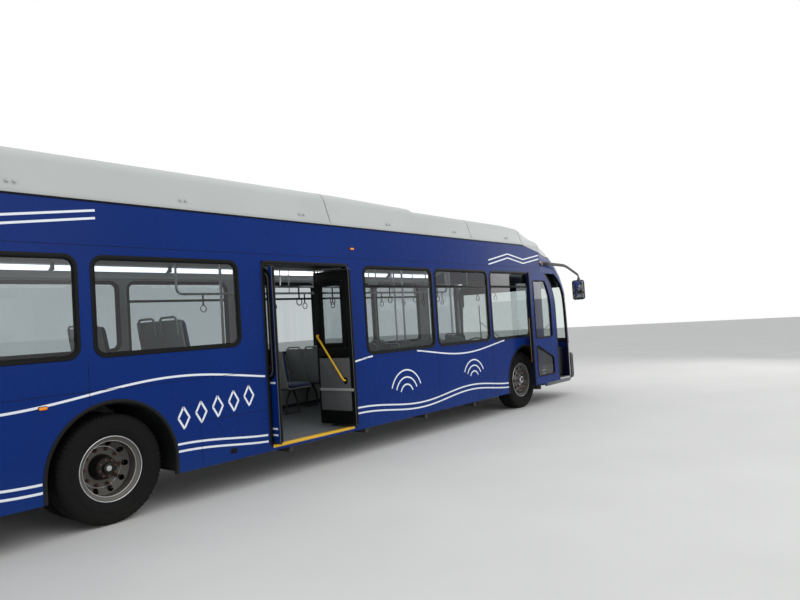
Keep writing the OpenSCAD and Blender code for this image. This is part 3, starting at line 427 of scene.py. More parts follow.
# A bent tube: a circle of radius r carried along the points, whose corners turn on arcs of radius bend
def tubePart(points, r, bend, steps, up):
    return sweepPart(bentPath(points, bend), circleRing(r, steps), up)


# Signed volume of a closed part, from the tetrahedra between its faces and the origin
def signedVolume(points, quads, triangles):
    faces = np.vstack([quads[:, :3], quads[:, [0, 2, 3]], triangles])
    a, b, c = (points[faces[:, k]] - points.mean(0) for k in range(3))
    return (a * np.cross(b, c)).sum() / 6


# Parts stacked into one, each with its faces' numbers raised by the count of the points before it
def joinedParts(parts):
    starts = np.cumsum([0] + [len(part[0]) for part in parts])
    quads, triangles = (np.vstack([part[i] + k for part, k in zip(parts, starts)]) for i in (1, 2))
    return np.vstack([part[0] for part in parts]), quads, triangles


# Joins parts into one piece at the origin, with every closed part turned so that its faces point outwards
def makePiece(name, parts, material, body, replaces=(), sharp=35, closed=True):
    turned = [(p, q[:, ::-1], t[:, ::-1]) if closed and signedVolume(p, q, t) < 0 else (p, q, t)
              for p, q, t in parts]
    points, quads, triangles = joinedParts(turned)
    mesh = bpy.data.meshes.new(name)
    mesh.vertices.add(len(points))
    mesh.vertices.foreach_set("co", points.astype(np.float32).ravel())
    corners = np.concatenate([quads.ravel(), triangles.ravel()]).astype(np.int32)
    mesh.loops.add(len(corners))
    mesh.loops.foreach_set("vertex_index", corners)
    starts = np.concatenate([np.arange(len(quads)) * 4, len(quads) * 4 + np.arange(len(triangles)) * 3])
    mesh.polygons.add(len(starts))
    mesh.polygons.foreach_set("loop_start", starts.astype(np.int32))
    mesh.update(calc_edges=True)
    mesh.polygons.foreach_set("use_smooth", np.ones(len(starts), bool))
    mesh.set_sharp_from_angle(angle=math.radians(sharp))
    mesh.materials.append(material)
    piece = bpy.data.objects.new(name, mesh)
    bpy.context.scene.collection.objects.link(piece)
    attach(piece, body)
    if replaces:
        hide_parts(*replaces)
    return piece


# Finish of each CAD node
nodeFinish = (
    (screenGlass, "windscreen"), (wallPaint, "kerb_side street_side"), (floorVinyl, "floor"),
    (busPaint, "front_mask rear_end front_door_leaf engine_door"), (fairingPaint, "roof_fairing"),
    (liningPanel, "roof ceiling"), (bumperSkin, "bumpers"), (archRubber, "arch_trims"),
    (tintedGlass, "window_glass front_door_glass rear_door_glass_a rear_door_glass_b"),
    (blackEnamel, "window_frames front_door_shaft rear_door_shaft_a rear_door_shaft_b"),
    (doorPanel, "rear_door_leaf_a rear_door_leaf_b"), (lensClear, "clear_lamps"), (redLens, "signal_lamps"),
    (dashPlastic, "dash steering_wheel"), (moquette, "driver_seat passenger_seats"),
    (stainlessTube, "grab_rails"), (mirrorShell, "mirrors"), (tankWrap, "gas_tanks"),
    (chassisPaint, "underframe front_axle rear_axle"),
    (castMetal, "engine knuckle_kerb knuckle_street tie_rod"),
    (rimPaint, "rim_front_kerb rim_front_street rims_rear_kerb rims_rear_street"),
    (tyreRubber, "tyre_front_kerb tyre_front_street tyres_rear_kerb tyres_rear_street"))
for finish, nodeNames in nodeFinish:
    for nodeName in nodeNames.split():
        nodes[nodeName].data.materials.clear()
        nodes[nodeName].data.materials.append(finish)
print("CAD nodes painted")


# The sidewall holds (above the rim's edge, in from the tyre's side) from the bead outwards, and the
# shoulder (below the tread, in from the tyre's side), in metres
tyreData = dict(width=0.296, grooves=(-0.078, -0.027, 0.027, 0.078), grooveHalf=0.006, grooveDepth=0.012,
                blocks=72, blockDepth=0.009, steps=288,
                sidewall=[(-0.011, 0.045), (0.004, 0.024), (0.020, 0.016), (0.030, 0.012), (0.034, 0.010),
                          (0.040, 0.0095), (0.060, 0.004), (0.066, 0.0015), (0.074, 0.0015), (0.080, 0.003),
                          (0.100, 0.0025), (0.125, 0.004), (0.131, 0.0032), (0.139, 0.0045), (0.160, 0.010),
                          (0.172, 0.014)],
                shoulder=[(-0.022, 0.019), (-0.013, 0.024), (-0.006, 0.033), (-0.002, 0.044)])


# Tyre section, from the bead out over the sidewall and across the grooves, on a tread whose radius
# falls by 3 mm (y / w)^2
def tyreProfile():
    w, r0, top = tyreData["width"] / 2, bus["rimR"], bus["tyreR"]
    side = [(r0 + a, -w + b) for a, b in tyreData["sidewall"]]
    side += [(top + a, -w + b) for a, b in tyreData["shoulder"]]
    tread = []
    for y in tyreData["grooves"]:
        h, d = tyreData["grooveHalf"], tyreData["grooveDepth"]
        crown = top - 0.003 * (y / w) ** 2
        tread += [(crown, y - h), (crown - d, y - h + 0.002), (crown - d, y + h - 0.002), (crown, y + h)]
    return np.array(side + tread + [(r, -y) for r, y in side[::-1]])


# Shoulder blocks: the radius is lowered by a square wave of the angle, past 85 mm from the middle
def shoulderBlocks(radius, across, angle):
    edge = np.clip((np.abs(across) - 0.085) / 0.01, 0, 1)
    phase = (angle * tyreData["blocks"] / (2 * np.pi) + np.sign(across) * 0.25) % 1
    cut = ((phase < 0.22) & (radius > bus["tyreR"] - 0.045)).astype(float)
    return radius - tyreData["blockDepth"] * edge * cut


# Tyre section turned about the axle at x, y
def tyrePart(x, y):
    return lathePart(tyreProfile(), (x, y, bus["tyreR"]), steps=tyreData["steps"], loop=True,
                     shape=shoulderBlocks)


# A disc with round holes between rInner and rOuter: each sector is a patch whose rows run from its
# hole's circle to the sector's edge, and the dish adds a distance along the axle by radius
def holedDisc(rInner, rOuter, holes, holeR, holeAt, dish, thick, centre, steps=32):
    angle = np.arange(steps) * 2 * np.pi / steps + np.pi / steps
    half = np.pi / holes
    direction = np.stack([np.cos(angle), np.sin(angle)], 1)
    hole = direction * holeR / np.array([1.0, holeAt])  # radius and angle away from the hole's middle
    span = np.where(direction[:, 0] > 0, rOuter - holeAt, holeAt - rInner)
    span = span / np.maximum(np.abs(direction[:, 0]), 1e-6)
    edge = direction * np.minimum(span, half * holeAt / np.maximum(np.abs(direction[:, 1]), 1e-6))[:, None]
    edge[:, 1] /= holeAt
    t = np.linspace(0, 1, 7)[:, None, None]
    local = hole * (1 - t) + edge * t
    parts = []
    for face, flip in ((0.0, False), (thick, True)):
        for k in range(holes):
            r, turn = local[..., 0] + holeAt, local[..., 1] + 2 * half * k
            depth = np.interp(r, *dish) + face
            points = np.stack([r * np.cos(turn), depth, r * np.sin(turn)], -1) + centre
            points, quads, tris = gridPart(points, wrapV=True)
            parts.append((points, quads[:, ::-1] if flip else quads, tris))
    for k in range(holes):
        r, turn = hole[:, 0] + holeAt, hole[:, 1] + 2 * half * k
        depth = np.interp(r, *dish)
        wall = np.stack([np.stack([r * np.cos(turn), depth + f, r * np.sin(turn)], -1) for f in (0, thick)])
        points, quads, tris = gridPart(wall + centre, wrapV=True)
        parts.append((points, quads[:, ::-1], tris))
    return joinedParts(parts)


# A hexagon nut with a chamfered top on a stud, standing along Y
def nutPart(x, y, z, across, high, way):
    levels = [(0, 1), (high * 0.85, 1), (high, 0.86)]
    ring = circleRing(across / 2 / math.cos(math.pi / 6), 6)
    rings = [inPlane(ring * s, "xz", 0) + [x, y + way * d, z] for d, s in levels]
    return loftPart(np.stack(rings))


wheelData = dict(rimT=0.010, nutCircle=0.1675, nuts=10, nutAcross=0.032, handHoles=10, handHoleR=0.027,
                 handHoleAt=0.221, beadR=0.190, stepR=0.252, boltR=0.0105, frontTrack=1.06, rearTrack=1.085,
                 twinGap=0.335)


# Rim section, from one flange over the well to the other, closed as a thin shell
def rimPart(x, y):
    w, r = tyreData["width"] / 2, bus["rimR"]
    outer = [(r, -w + 0.028), (r - 0.003, -w + 0.036), (r - 0.012, -w + 0.041), (r - 0.016, -w + 0.06),
             (r - 0.034, -w + 0.085), (r - 0.036, 0.0), (r - 0.034, w - 0.085), (r - 0.016, w - 0.06),
             (r - 0.012, w - 0.041), (r - 0.003, w - 0.036), (r, w - 0.028)]
    inner = [(a - 0.009, b * 0.985) for a, b in outer[::-1]]
    return lathePart(outer + inner, (x, y, bus["tyreR"]), steps=96, loop=True)


# Rolled edge of the rim: a 6 mm bead turned about the axle, on the side that way gives
def flangePart(x, y, way):
    w, r = tyreData["width"] / 2, bus["rimR"]
    at = y + way * (w - 0.03)
    ring = circleRing(0.006, 12)
    profile = np.stack([r - 0.006 + ring[:, 0], way * ring[:, 1]], 1)
    return lathePart(profile, (x, at, bus["tyreR"]), steps=120, loop=True)


# Gutter inside the flange: a thin cone from the flange down to the rim's well, lathed about the axle
def gutterPart(x, y, way):
    w, r, step = tyreData["width"] / 2, bus["rimR"], wheelData["stepR"]
    at = way * (w - 0.03)
    cone = [(r - 0.008, 0), (r - 0.020, 0.012), (step, 0.026), (step, 0.030), (r - 0.018, 0.018),
            (r - 0.006, 0.006)]
    return lathePart([(a, at - way * b) for a, b in cone], (x, y, bus["tyreR"]), steps=96, loop=True)


# A ring of wire of the given radius, turned about the axle at a depth along it
def beadPart(x, y, radius, depth, thick):
    ring = circleRing(thick, 10)
    profile = np.stack([radius + ring[:, 0], depth + ring[:, 1]], 1)
    return lathePart(profile, (x, y, bus["tyreR"]), steps=96, loop=True)


# Places (x, z) spread evenly on a circle round the axle
def studPositions(x, count, radius, turn=0.0):
    a = np.arange(count) * 2 * np.pi / count + turn
    return [(x + radius * math.cos(k), bus["tyreR"] + radius * math.sin(k)) for k in a]


# Wheel disc with hand holes; dish holds (radius, distance along the axle)
def discPart(dish, thick, centre):
    d = wheelData
    return holedDisc(0.10, 0.262, d["handHoles"], d["handHoleR"], d["handHoleAt"], dish, thick, centre)


# Ring of wheel nuts high at y, with the stud ends standing out of them by long
def nutRing(x, y, side, high, studY, long):
    d, nuts = wheelData, []
    stud = [(d["boltR"], 0), (d["boltR"], side * long), (0.008, side * (long + 0.003))]
    for nx, nz in studPositions(x, d["nuts"], d["nutCircle"]):
        nuts.append(nutPart(nx, y, nz, d["nutAcross"], high, side))
        nuts.append(lathePart(stud, (nx, studY, nz), steps=12))
    return nuts


# Front wheel: a disc that bulges outwards, a ring of nuts and a bright domed hub
def frontWheel(side, name, body):
    d = wheelData
    x, y, where = bus["frontX"], side * d["frontTrack"], name[5:].lower()
    centre = np.array([x, y, bus["tyreR"]])
    dish = ([0.10, 0.15, 0.188, 0.235, 0.262], [side * k for k in (0.115, 0.113, 0.109, 0.083, 0.068)])
    rim = [rimPart(x, y), gutterPart(x, y, side), gutterPart(x, y, -side)]
    makePiece(name + "Rim", rim, rimPaint, body, ("rim_front_" + where,))
    makePiece(name + "Disc", [discPart(dish, -side * d["rimT"], centre)], rimPaint, body,
              closed=False)
    depth = side * (tyreData["width"] / 2 - 0.058)
    flanges = [flangePart(x, y, side), flangePart(x, y, -side), beadPart(x, y, d["stepR"], depth, 0.003),
               beadPart(x, y, d["beadR"], side * 0.109, 0.0035)]
    makePiece(name + "Flange", flanges, brightSteel, body)
    hub = [(0.001, 0.150), (0.03, 0.149), (0.052, 0.143), (0.066, 0.132), (0.070, 0.118), (0.072, 0.10),
           (0.10, 0.098), (0.104, 0.092), (0.108, 0.05), (0.108, -0.04), (0.06, -0.05), (0.033, -0.052)]
    cap = lathePart([(r, side * t) for r, t in hub], centre)
    makePiece(name + "Hub", [cap], brightSteel, body)
    nuts = nutRing(x, y + side * 0.113, side, 0.022, y + side * 0.13, 0.018)
    makePiece(name + "Nuts", nuts, rustyNut, body)
    makePiece(name + "Tyre", [tyrePart(x, y)], tyreRubber, body, ("tyre_front_" + where,),
              sharp=40)


# Rear twins: the outer disc sits deep inside the rim, round the planet hub that stands out of it
def rearWheels(side, name, body):
    d = wheelData
    x, outer, where = bus["rearX"], side * d["rearTrack"], name[4:].lower()
    inner = outer - side * d["twinGap"]
    centre = np.array([x, outer, bus["tyreR"]])
    gutters = [gutterPart(x, outer, side), gutterPart(x, inner, -side)]
    makePiece(name + "Rim", [rimPart(x, outer), rimPart(x, inner)] + gutters, rimPaint, body,
              ("rims_rear_" + where,))
    discs = []
    for middle, way in ((outer, -side), (inner, side)):
        dish = ([0.10, 0.17, 0.192, 0.235, 0.262], [way * k for k in (0.086, 0.086, 0.082, 0.052, 0.030)])
        discs.append(discPart(dish, way * d["rimT"], np.array([x, middle, bus["tyreR"]])))
    makePiece(name + "Disc", discs, rimPaint, body, closed=False)
    plug = [(0.001, side * 0.0795), (0.024, side * 0.078), (0.028, side * 0.072), (0.001, side * 0.070)]
    flanges = [flangePart(x, m, s) for m in (outer, inner) for s in (side, -side)]
    flanges += [beadPart(x, outer, d["stepR"], side * (tyreData["width"] / 2 - 0.058), 0.0035),
                beadPart(x, outer, d["beadR"], -side * 0.080, 0.0055), lathePart(plug, centre, steps=40)]
    makePiece(name + "Flange", flanges, brightSteel, body)
    hub = [(0.001, 0.074), (0.03, 0.073), (0.045, 0.068), (0.05, 0.055), (0.052, 0.045), (0.085, 0.042),
           (0.098, 0.030), (0.104, 0.0), (0.112, -0.03), (0.118, -0.068), (0.118, -0.30), (0.10, -0.31),
           (0.041, -0.315)]
    cap = lathePart([(r, side * t) for r, t in hub], centre)
    makePiece(name + "Hub", [cap], darkHub, body)
    nuts = nutRing(x, outer - side * 0.086, side, 0.024, outer - side * 0.066, 0.03)
    for nx, nz in studPositions(x, 8, 0.078, 0.2):
        nuts.append(nutPart(nx, outer + side * 0.043, nz, 0.018, 0.009, side))
    makePiece(name + "Nuts", nuts, rustyNut, body)
    makePiece(name + "Tyres", [tyrePart(x, outer), tyrePart(x, inner)], tyreRubber, body,
              ("tyres_rear_" + where,), sharp=40)


frontWheel(-1, "frontKerb", "front_wheel_kerb")
frontWheel(1, "frontStreet", "front_wheel_street")
rearWheels(-1, "rearKerb", "rear_wheels_kerb")
rearWheels(1, "rearStreet", "rear_wheels_street")
print("wheels made")


# A sheet of thickness t: the grid of its outer face, the same grid moved inwards along its normals, and
# strips of quads round the four edges
def shellPart(points, t):
    alongU, alongV = np.gradient(points, axis=0), np.gradient(points, axis=1)
    normal = np.cross(alongU, alongV)
    normal /= np.maximum(np.linalg.norm(normal, axis=2), 1e-9)[..., None]
    inner = points - normal * t
    rows, columns = points.shape[:2]
    outerQuads = gridPart(points)[1]
    count = rows * columns
    index = np.arange(count).reshape(rows, columns)
    edge = np.concatenate([index[0, :-1], index[:-1, -1], index[-1, :0:-1], index[:0:-1, 0]])
    ahead = np.roll(edge, -1)
    rim = np.stack([ahead, edge, edge + count, ahead + count], 1)
    quads = np.vstack([outerQuads, outerQuads[:, ::-1] + count, rim])
    return np.vstack([points.reshape(-1, 3), inner.reshape(-1, 3)]), quads, noTriangles


# Front of the body: rows of [height, nose setback, corner radius, half-width loss at the corner and at
# the roof joint], blended softly in height and swept round from the kerb side to the street side
frontRows = np.array([[0.332, 0, 0.28, 0, 0], [1.15, 0, 0.29, 0, 0], [2.05, 0.045, 0.31, 0, 0],
                      [2.35, 0.12, 0.35, 0.008, 0], [2.6, 0.27, 0.42, 0.025, 0],
                      [2.8, 0.48, 0.46, 0.06, 0], [2.93, 0.67, 0.41, 0.105, 0],
                      [3.0, 0.81, 0.32, 0.165, 0], [3.061, 0.93, 0.23, 0.235, 0.17]])
frontBow = 0.095
frontSteps = dict(low=0.332, high=3.061, rows=140, columns=401, blur=0.07)


# Length gone at each point of a polyline
def goneAlong(line):
    return np.concatenate([[0], np.cumsum(np.linalg.norm(np.diff(line, axis=0), axis=1))])


# Points spread along a polyline at given shares of its length
def alongLine(line, shares):
    gone = goneAlong(line)
    return np.stack([np.interp(shares * gone[-1], gone, line[:, k]) for k in range(line.shape[1])], 1)


# Outline at one height: a side line, a quarter circle of radius r, and a bow x = nose - bow (y / flat)^2
def frontOutline(nose, half, r, joint, inset):
    nose, half, joint, r = nose - inset, half - inset, joint - inset, max(r - inset, 0.06)
    turn = np.linspace(0, np.pi / 2, 60)
    middle, flat = nose - frontBow - r, half - r
    side = np.stack([np.linspace(bus["frontStart"], middle, 60), np.linspace(joint, half, 60)], 1)
    corner = np.stack([middle + r * np.sin(turn), flat + r * np.cos(turn)], 1)
    y = np.linspace(flat, 0, 60)
    bow = np.stack([nose - frontBow * (y / flat) ** 2, y], 1)
    quarter = np.vstack([side[:-1], corner[:-1], bow]) * [1, -1]
    return np.vstack([quarter[:-1], quarter[::-1] * [1, -1]])


# Outlines over height, each averaged over a span of blur, with their points spread evenly by length
def frontTableAt(inset):
    d = frontSteps
    heights = np.linspace(d["low"], d["high"], d["rows"])
    spread = np.linspace(-d["blur"], d["blur"], 9)
    table = np.zeros((d["rows"], d["columns"], 2))
    for i, z in enumerate(heights):
        near = np.clip(z + spread * min(1, (d["high"] - z) / d["blur"] + 0.02), d["low"], d["high"])
        row = [np.interp(near, frontRows[:, 0], frontRows[:, k]).mean() for k in range(1, 5)]
        line = frontOutline(bus["bodyFront"] - row[0], bus["halfW"] - row[2], row[1], bus["halfW"] - row[3],
                            inset)
        table[i] = alongLine(line, np.linspace(0, 1, d["columns"]))
    return table


frontTables = {inset: frontTableAt(inset) for inset in (0.0, 0.008)}


# Point of the front at height z and share v of the way round, by bilinear interpolation in the table
def frontAt(z, v, inset=0.0):
    d, table = frontSteps, frontTables[inset]
    i = np.clip((z - d["low"]) / (d["high"] - d["low"]) * (d["rows"] - 1), 0, d["rows"] - 1.001)
    j = np.clip(v * (d["columns"] - 1), 0, d["columns"] - 1.001)
    i0, j0 = i.astype(int), j.astype(int)
    fi, fj = (i - i0)[..., None], (j - j0)[..., None]
    flat = ((table[i0, j0] * (1 - fi) + table[i0 + 1, j0] * fi) * (1 - fj)
            + (table[i0, j0 + 1] * (1 - fi) + table[i0 + 1, j0 + 1] * fi) * fj)
    return np.concatenate([flat, z[..., None]], -1)


# Share of the way round at which the kerb side reaches x at height z
def shareAtX(z, x, inset=0.0):
    d, table = frontSteps, frontTables[inset]
    half = d["columns"] // 2 + 1
    i = np.clip((z - d["low"]) / (d["high"] - d["low"]) * (d["rows"] - 1), 0, d["rows"] - 1.001)
    shares = []
    for k, xk in zip(i, np.broadcast_to(x, z.shape)):
        line = table[int(k), :half, 0] * (1 - k % 1) + table[int(k) + 1, :half, 0] * (k % 1)
        shares.append(np.interp(xk, line, np.arange(half)) / (d["columns"] - 1))
    return np.array(shares)


# Patch of the front between heights z0 and z1 and between two shares that vary with height
def frontPatch(z0, z1, fromShare, toShare, rows, columns, inset=0.0):
    z = np.linspace(z0, z1, rows)
    a, b = fromShare(z), toShare(z)
    v = a[:, None] + (b - a)[:, None] * np.linspace(0, 1, columns)[None]
    return frontAt(np.broadcast_to(z[:, None], v.shape), v, inset)


# Patch between two heights that vary along the shares
def frontBand(fromZ, toZ, shares, rows, inset=0.0):
    t = np.linspace(0, 1, rows)[:, None]
    z = fromZ[None] * (1 - t) + toZ[None] * t
    return frontAt(z, np.broadcast_to(shares[None], z.shape), inset)


frontData = dict(wall=0.048, screenX=5.95, screenZ0=1.06, screenZ1=2.52, driverTopZ=2.455, capX0=4.34,
                 capX1=5.29, capZ0=2.931, capZ1=2.75, capNoseZ=2.70, seam=0.006, glassX=5.962,
                 glassInset=0.008, glassT=0.006)


# Height of the fairing cap's edge over x
def capEdge(x):
    d = frontData
    return np.interp(x, [d["capX0"], d["capX1"], bus["noseX"]], [d["capZ0"], d["capZ1"], d["capNoseZ"]])


# For each share, the height at which the front's surface crosses the cap's edge
def capCrossing(shares):
    z = np.linspace(2.5, 2.95, 226)
    size = (len(z), len(shares))
    grid = frontAt(np.broadcast_to(z[:, None], size), np.broadcast_to(shares, size))
    below = (grid[..., 2] < capEdge(grid[..., 0])).sum(0)
    return z[np.clip(below, 0, 225)]


# Front leaf of the door, open as in the photo: edges, thickness and the arc of its upper front corner
frontLeafData = dict(x0=4.1256, x1=5.0976, y0=-1.48, thick=0.04, z1=2.416, edgeR=0.78, middle=1.75,
                     hingeInset=0.135, frontInset=0.195)


# Front door's leading edge: upright up to the middle, then a circle x = postX - r + sqrt(r^2 - drop^2)
def doorEdgeX(z):
    r = frontLeafData["edgeR"]
    drop = np.clip(z - frontLeafData["middle"], 0, r - 1e-6)
    return bus["postX"] - r + np.sqrt(r * r - drop * drop)


# Roof fairing: a section with sloping sides and round shoulders, as high as topLine says at each x
fairingData = dict(halfW=1.281, base=2.943, lean=0.15, shoulderR=0.19, wall=0.011,
                   topLine=[(-6.35, 3.19), (-6.27, 3.29), (-6.17, 3.36), (-6.05, 3.389), (-0.24, 3.389),
                            (1.24, 3.355), (1.26, 3.35), (1.29, 3.32), (1.31, 3.316), (3.84, 3.296),
                            (4.3, 3.27), (4.7, 3.21), (4.925, 3.15)],
                   seams=(-0.573, 2.667, 4.335), seamW=0.007, seamT=0.0012, seamDrop=0.0004, trimY=1.2975,
                   latchY=1.262, latchPitch=1.62)


# Section the fairing ends with: the cap's outline up to its top edge, then z = top - rise (|y| / edge)^5
def capSection(top):
    z = np.linspace(fairingData["base"], bus["roofTop"] - 0.004, 12)
    side = frontAt(z, 0 * z)[:, 1:]
    y = side[-1, 0] * np.cos(np.linspace(0, np.pi / 2, 40)[1:])
    over = np.stack([y, top - (top - z[-1]) * (y / side[-1, 0]) ** 5], 1)
    half = np.vstack([side, over])
    return np.vstack([half, half[-2::-1] * [-1, 1]])


# Section from edge to edge at x: a side leaning inwards, a shoulder arc of radius r and a flat top. From
# the last seam on it goes over to the cap's: (1 - s) regular + s capSection, with s = way^1.25
def fairingSection(x):
    d = fairingData
    top = np.interp(x, *np.array(d["topLine"]).T)
    lean = d["lean"] * (top - d["base"]) / (bus["totalH"] - d["base"])
    r = min(d["shoulderR"], (top - d["base"]) * 0.45)
    angle = math.atan2(lean, top - d["base"])
    turn = np.linspace(angle, np.pi / 2, 16)
    centre = np.array([d["halfW"] - lean - r * (1 - math.sin(angle)) / math.cos(angle), top - r])
    arc = centre + r * np.stack([np.cos(turn), np.sin(turn)], 1)
    foot = np.array([d["halfW"], d["base"]])
    t = np.linspace(0, 1, 7)[:-1, None]
    side = foot * (1 - t) + arc[0] * t
    y = np.linspace(arc[-1, 0], 0, 10)[1:]
    roof = np.stack([y, np.full(len(y), top)], 1)
    half = np.vstack([side, arc, roof]) * [-1, 1]
    flat = np.vstack([half, half[-2::-1] * [-1, 1]])
    s = float(np.clip((x - frontData["capX0"]) / (bus["frontStart"] - frontData["capX0"]), 0, 1)) ** 1.25
    if s > 0:
        gone = goneAlong(flat)
        flat = flat * (1 - s) + alongLine(capSection(top), gone / gone[-1]) * s
    return np.insert(flat, 0, x, axis=1)


# Nose of the fairing: cubic curves a(1 + 2t)(1 - t)^2 + b t^2 (3 - 2t) + t (1 - t)((1 - t) p - t q) from
# the cap's top edge a, where the cap rises by p, to the fairing's first section b, which runs on by q
def noseOver(capRows):
    top = fairingData["topLine"][-1][1]
    section = np.insert(capSection(top), 0, bus["frontStart"], axis=1)[11:-11]
    shares = 0.5 - 0.5 * np.cos(np.linspace(0, np.pi, 141))
    a, b, below = alongLine(capRows[1], shares), alongLine(section, shares), alongLine(capRows[0], shares)
    far = np.linalg.norm(b - a, axis=1)[:, None]
    p = (a - below) / np.linalg.norm(a - below, axis=1)[:, None] * far * 0.8
    q = np.array([-1, 0, 0.24]) * far
    t = np.linspace(0, 1, 16)[:, None, None]
    grid = a * (1 + 2 * t) * (1 - t) ** 2 + b * t ** 2 * (3 - 2 * t) + t * (1 - t) * ((1 - t) * p - t * q)
    return shellPart(grid[::-1, 1:-1], fairingData["wall"])


# Front mask in patches round the doorway, the windscreen and the driver's window, each thickened
# inwards, with the pale cap over it, the joint between the two and the windscreen's glass
def makeFront():
    d = frontData
    screen = lambda z: shareAtX(z, d["screenX"])
    past = lambda z: 1 - shareAtX(z, d["screenX"])
    door = lambda z: shareAtX(z, doorEdgeX(z))
    street = lambda z: 1 - shareAtX(z, bus["maskX"])
    shares = np.linspace(0, 1, 201)
    edge = capCrossing(shares)
    patches = [frontPatch(bus["skirtZ"], d["screenZ0"], screen, past, 30, 150),
               frontPatch(bus["skirtZ"], bus["doorTopZ"], door, screen, 60, 14),
               frontBand(np.full(201, d["screenZ1"]), edge - d["seam"], shares, 14),
               frontPatch(bus["doorTopZ"], d["screenZ1"], lambda z: 0 * z, screen, 7, 40),
               frontPatch(bus["skirtZ"], d["screenZ1"], past, street, 60, 5),
               frontPatch(d["driverTopZ"], d["screenZ1"], street, lambda z: 1 + 0 * z, 6, 30)]
    walls = [shellPart(points[::-1], d["wall"]) for points in patches]
    # The inner sheets of the post and header end flush with the doorway, clear of the door leaf
    post, header = walls[1][0], walls[3][0]
    inner = post[len(post) // 2:].reshape(patches[1].shape)
    inner[..., 0] = np.maximum(inner[..., 0], patches[1][::-1, :1, 0])
    header[len(header) // 2:, 2] = np.maximum(header[len(header) // 2:, 2], bus["doorTopZ"])
    makePiece("frontMask", walls, busPaint, "body", ("front_mask",), sharp=50)
    cap = frontBand(edge + d["seam"] * 0.5, np.full(201, bus["roofTop"] - 0.004), shares, 40)
    makePiece("fairingCap", [shellPart(cap[::-1], 0.02), noseOver(cap[-2:])], fairingPaint, "body",
              sharp=50)
    joint = frontBand(edge - 2.4 * d["seam"], edge + 0.2 * d["seam"], shares, 3)
    joint = joint * [1, 1.0006, 1] + [0.001, 0, 0]  # stands 1 mm proud of the blue mask
    makePiece("capJoint", [shellPart(joint[::-1], 0.012)], sealRubber, "body")
    start = lambda z: shareAtX(z, d["glassX"], d["glassInset"])
    glass = frontPatch(d["screenZ0"] + 0.012, d["screenZ1"] - 0.012, start, lambda z: 1 - start(z), 50, 150,
                       d["glassInset"])
    makePiece("windscreenGlass", [shellPart(glass, d["glassT"])], screenGlass, "body",
              ("windscreen",), sharp=50)


makeFront()
print("front made")


# Roof skin under the fairing: z = top - y^2 / 18 between upright edges, which draw in by 0.2 s^2 over the
# share s of the way from the last seam to the front
def makeRoofSkin():
    low, wide = fairingData["base"] - 0.012, bus["halfW"]
    y = np.linspace(-wide + 0.001, wide - 0.001, 61)
    over = np.stack([y, bus["roofTop"] - y ** 2 / 18], 1)
    edge = np.array([[wide, low], [wide, low + 0.012], [wide, low + 0.024]])
    section = np.vstack([edge * [-1, 1], over, edge[::-1]])
    x = np.concatenate([[-6.335], np.linspace(frontData["capX0"], 4.92, 12)])
    drawn = 1 - 0.2 / wide * np.clip((x - x[1]) / (x[-1] - x[1]), 0, 1) ** 2
    grid = np.stack([np.broadcast_to(x[:, None], (len(x), len(section))), drawn[:, None] * section[:, 0],
                     np.broadcast_to(section[:, 1], (len(x), len(section)))], -1)
    makePiece("roofSkin", [shellPart(grid, 0.04)], fairingPaint, "body", ("roof",), sharp=40)


makeRoofSkin()


# Fairing: sections along the roof thickened to a shell, a sloping closure behind, two triangles that
# reach down to the cap's edge, rubber over the seams and pairs of latches along both sides
def makeFairing():
    d = fairingData
    xs = np.array(d["topLine"])[:, 0]
    stations = np.unique(np.concatenate([xs, np.linspace(xs[0], xs[-1], 90)]))
    grid = np.array([fairingSection(x) for x in stations])
    parts = [shellPart(grid, d["wall"])]
    t = np.linspace(0, 1, 5)[:, None, None]
    base = grid[0] * [1, 1, 0] + [0, 0, d["base"] - 0.01]
    parts.append(shellPart(base * (1 - t) + grid[0] * t, d["wall"]))
    x = np.linspace(frontData["capX0"], bus["frontStart"], 20)
    t = np.linspace(0, 1, 5)[:, None]
    z = (capEdge(x) + 0.003)[None] * (1 - t) + d["base"] * t
    for side in (-1, 1):
        y = np.full(z.shape, side * (bus["halfW"] + 0.002))
        parts.append(shellPart(np.stack([np.broadcast_to(x, z.shape), y, z], -1)[::side], 0.0015))
    makePiece("roofFairing", parts, fairingPaint, "body", ("roof_fairing",), sharp=50)
    half, t = d["seamW"] / 2, d["seamT"]
    strip = [(-half, 0), (half, 0), (half, t), (-half, t)]
    drop = [0, 0, d["seamDrop"]]
    strips = [sweepPart(fairingSection(x) - drop, strip, up=(0, 0.001, 1)) for x in d["seams"]]
    latches, end = [], frontData["capX0"]
    for side in (-1, 1):
        y = side * d["trimY"]
        strips.append(blockPart((xs[0], y - 0.0045, 2.924), (end, y + 0.0045, 2.942), 0.004, "yz"))
        y = side * d["latchY"]
        for x in np.add.outer(np.arange(-5.9, 4.3, d["latchPitch"]), (-0.03, 0.03)).ravel():
            low, high = (x - 0.014, y - 0.006, 3.03), (x + 0.014, y + 0.006, 3.055)
            latches.append(blockPart(low, high, 0.004, "xz"))
    makePiece("fairingSeams", strips, sealRubber, "body")
    makePiece("fairingLatches", latches, fairingPaint, "body")


makeFairing()


# Side windows: a wide satin frame with a raised lip outside and a rubber seal round the pane. A path in
# the side plane is a round rectangle, and its profile is (inwards from the path, outwards from the side)
windowData = dict(proud=0.004, frame=0.042, transomZ=2.155, transomH=0.034, depth=0.046, driverR=0.08)


# A round rectangle in the side plane, turned so that a profile's first value points inwards on both sides
def sidePath(x0, x1, z0, z1, r, side, steps=10):
    ring = roundRing(x0, x1, z0, z1, r, steps)
    if side > 0:
        ring = ring[::-1]
    return inPlane(ring, "xz", side * bus["halfW"])


# A profile carried round a window in the side plane
def framePart(x0, x1, z0, z1, r, side, profile):
    path = sidePath(x0, x1, z0, z1, r, side)
    return sweepPart(path, [(-a, b) for a, b in profile], up=(0, side, 0), loop=True)


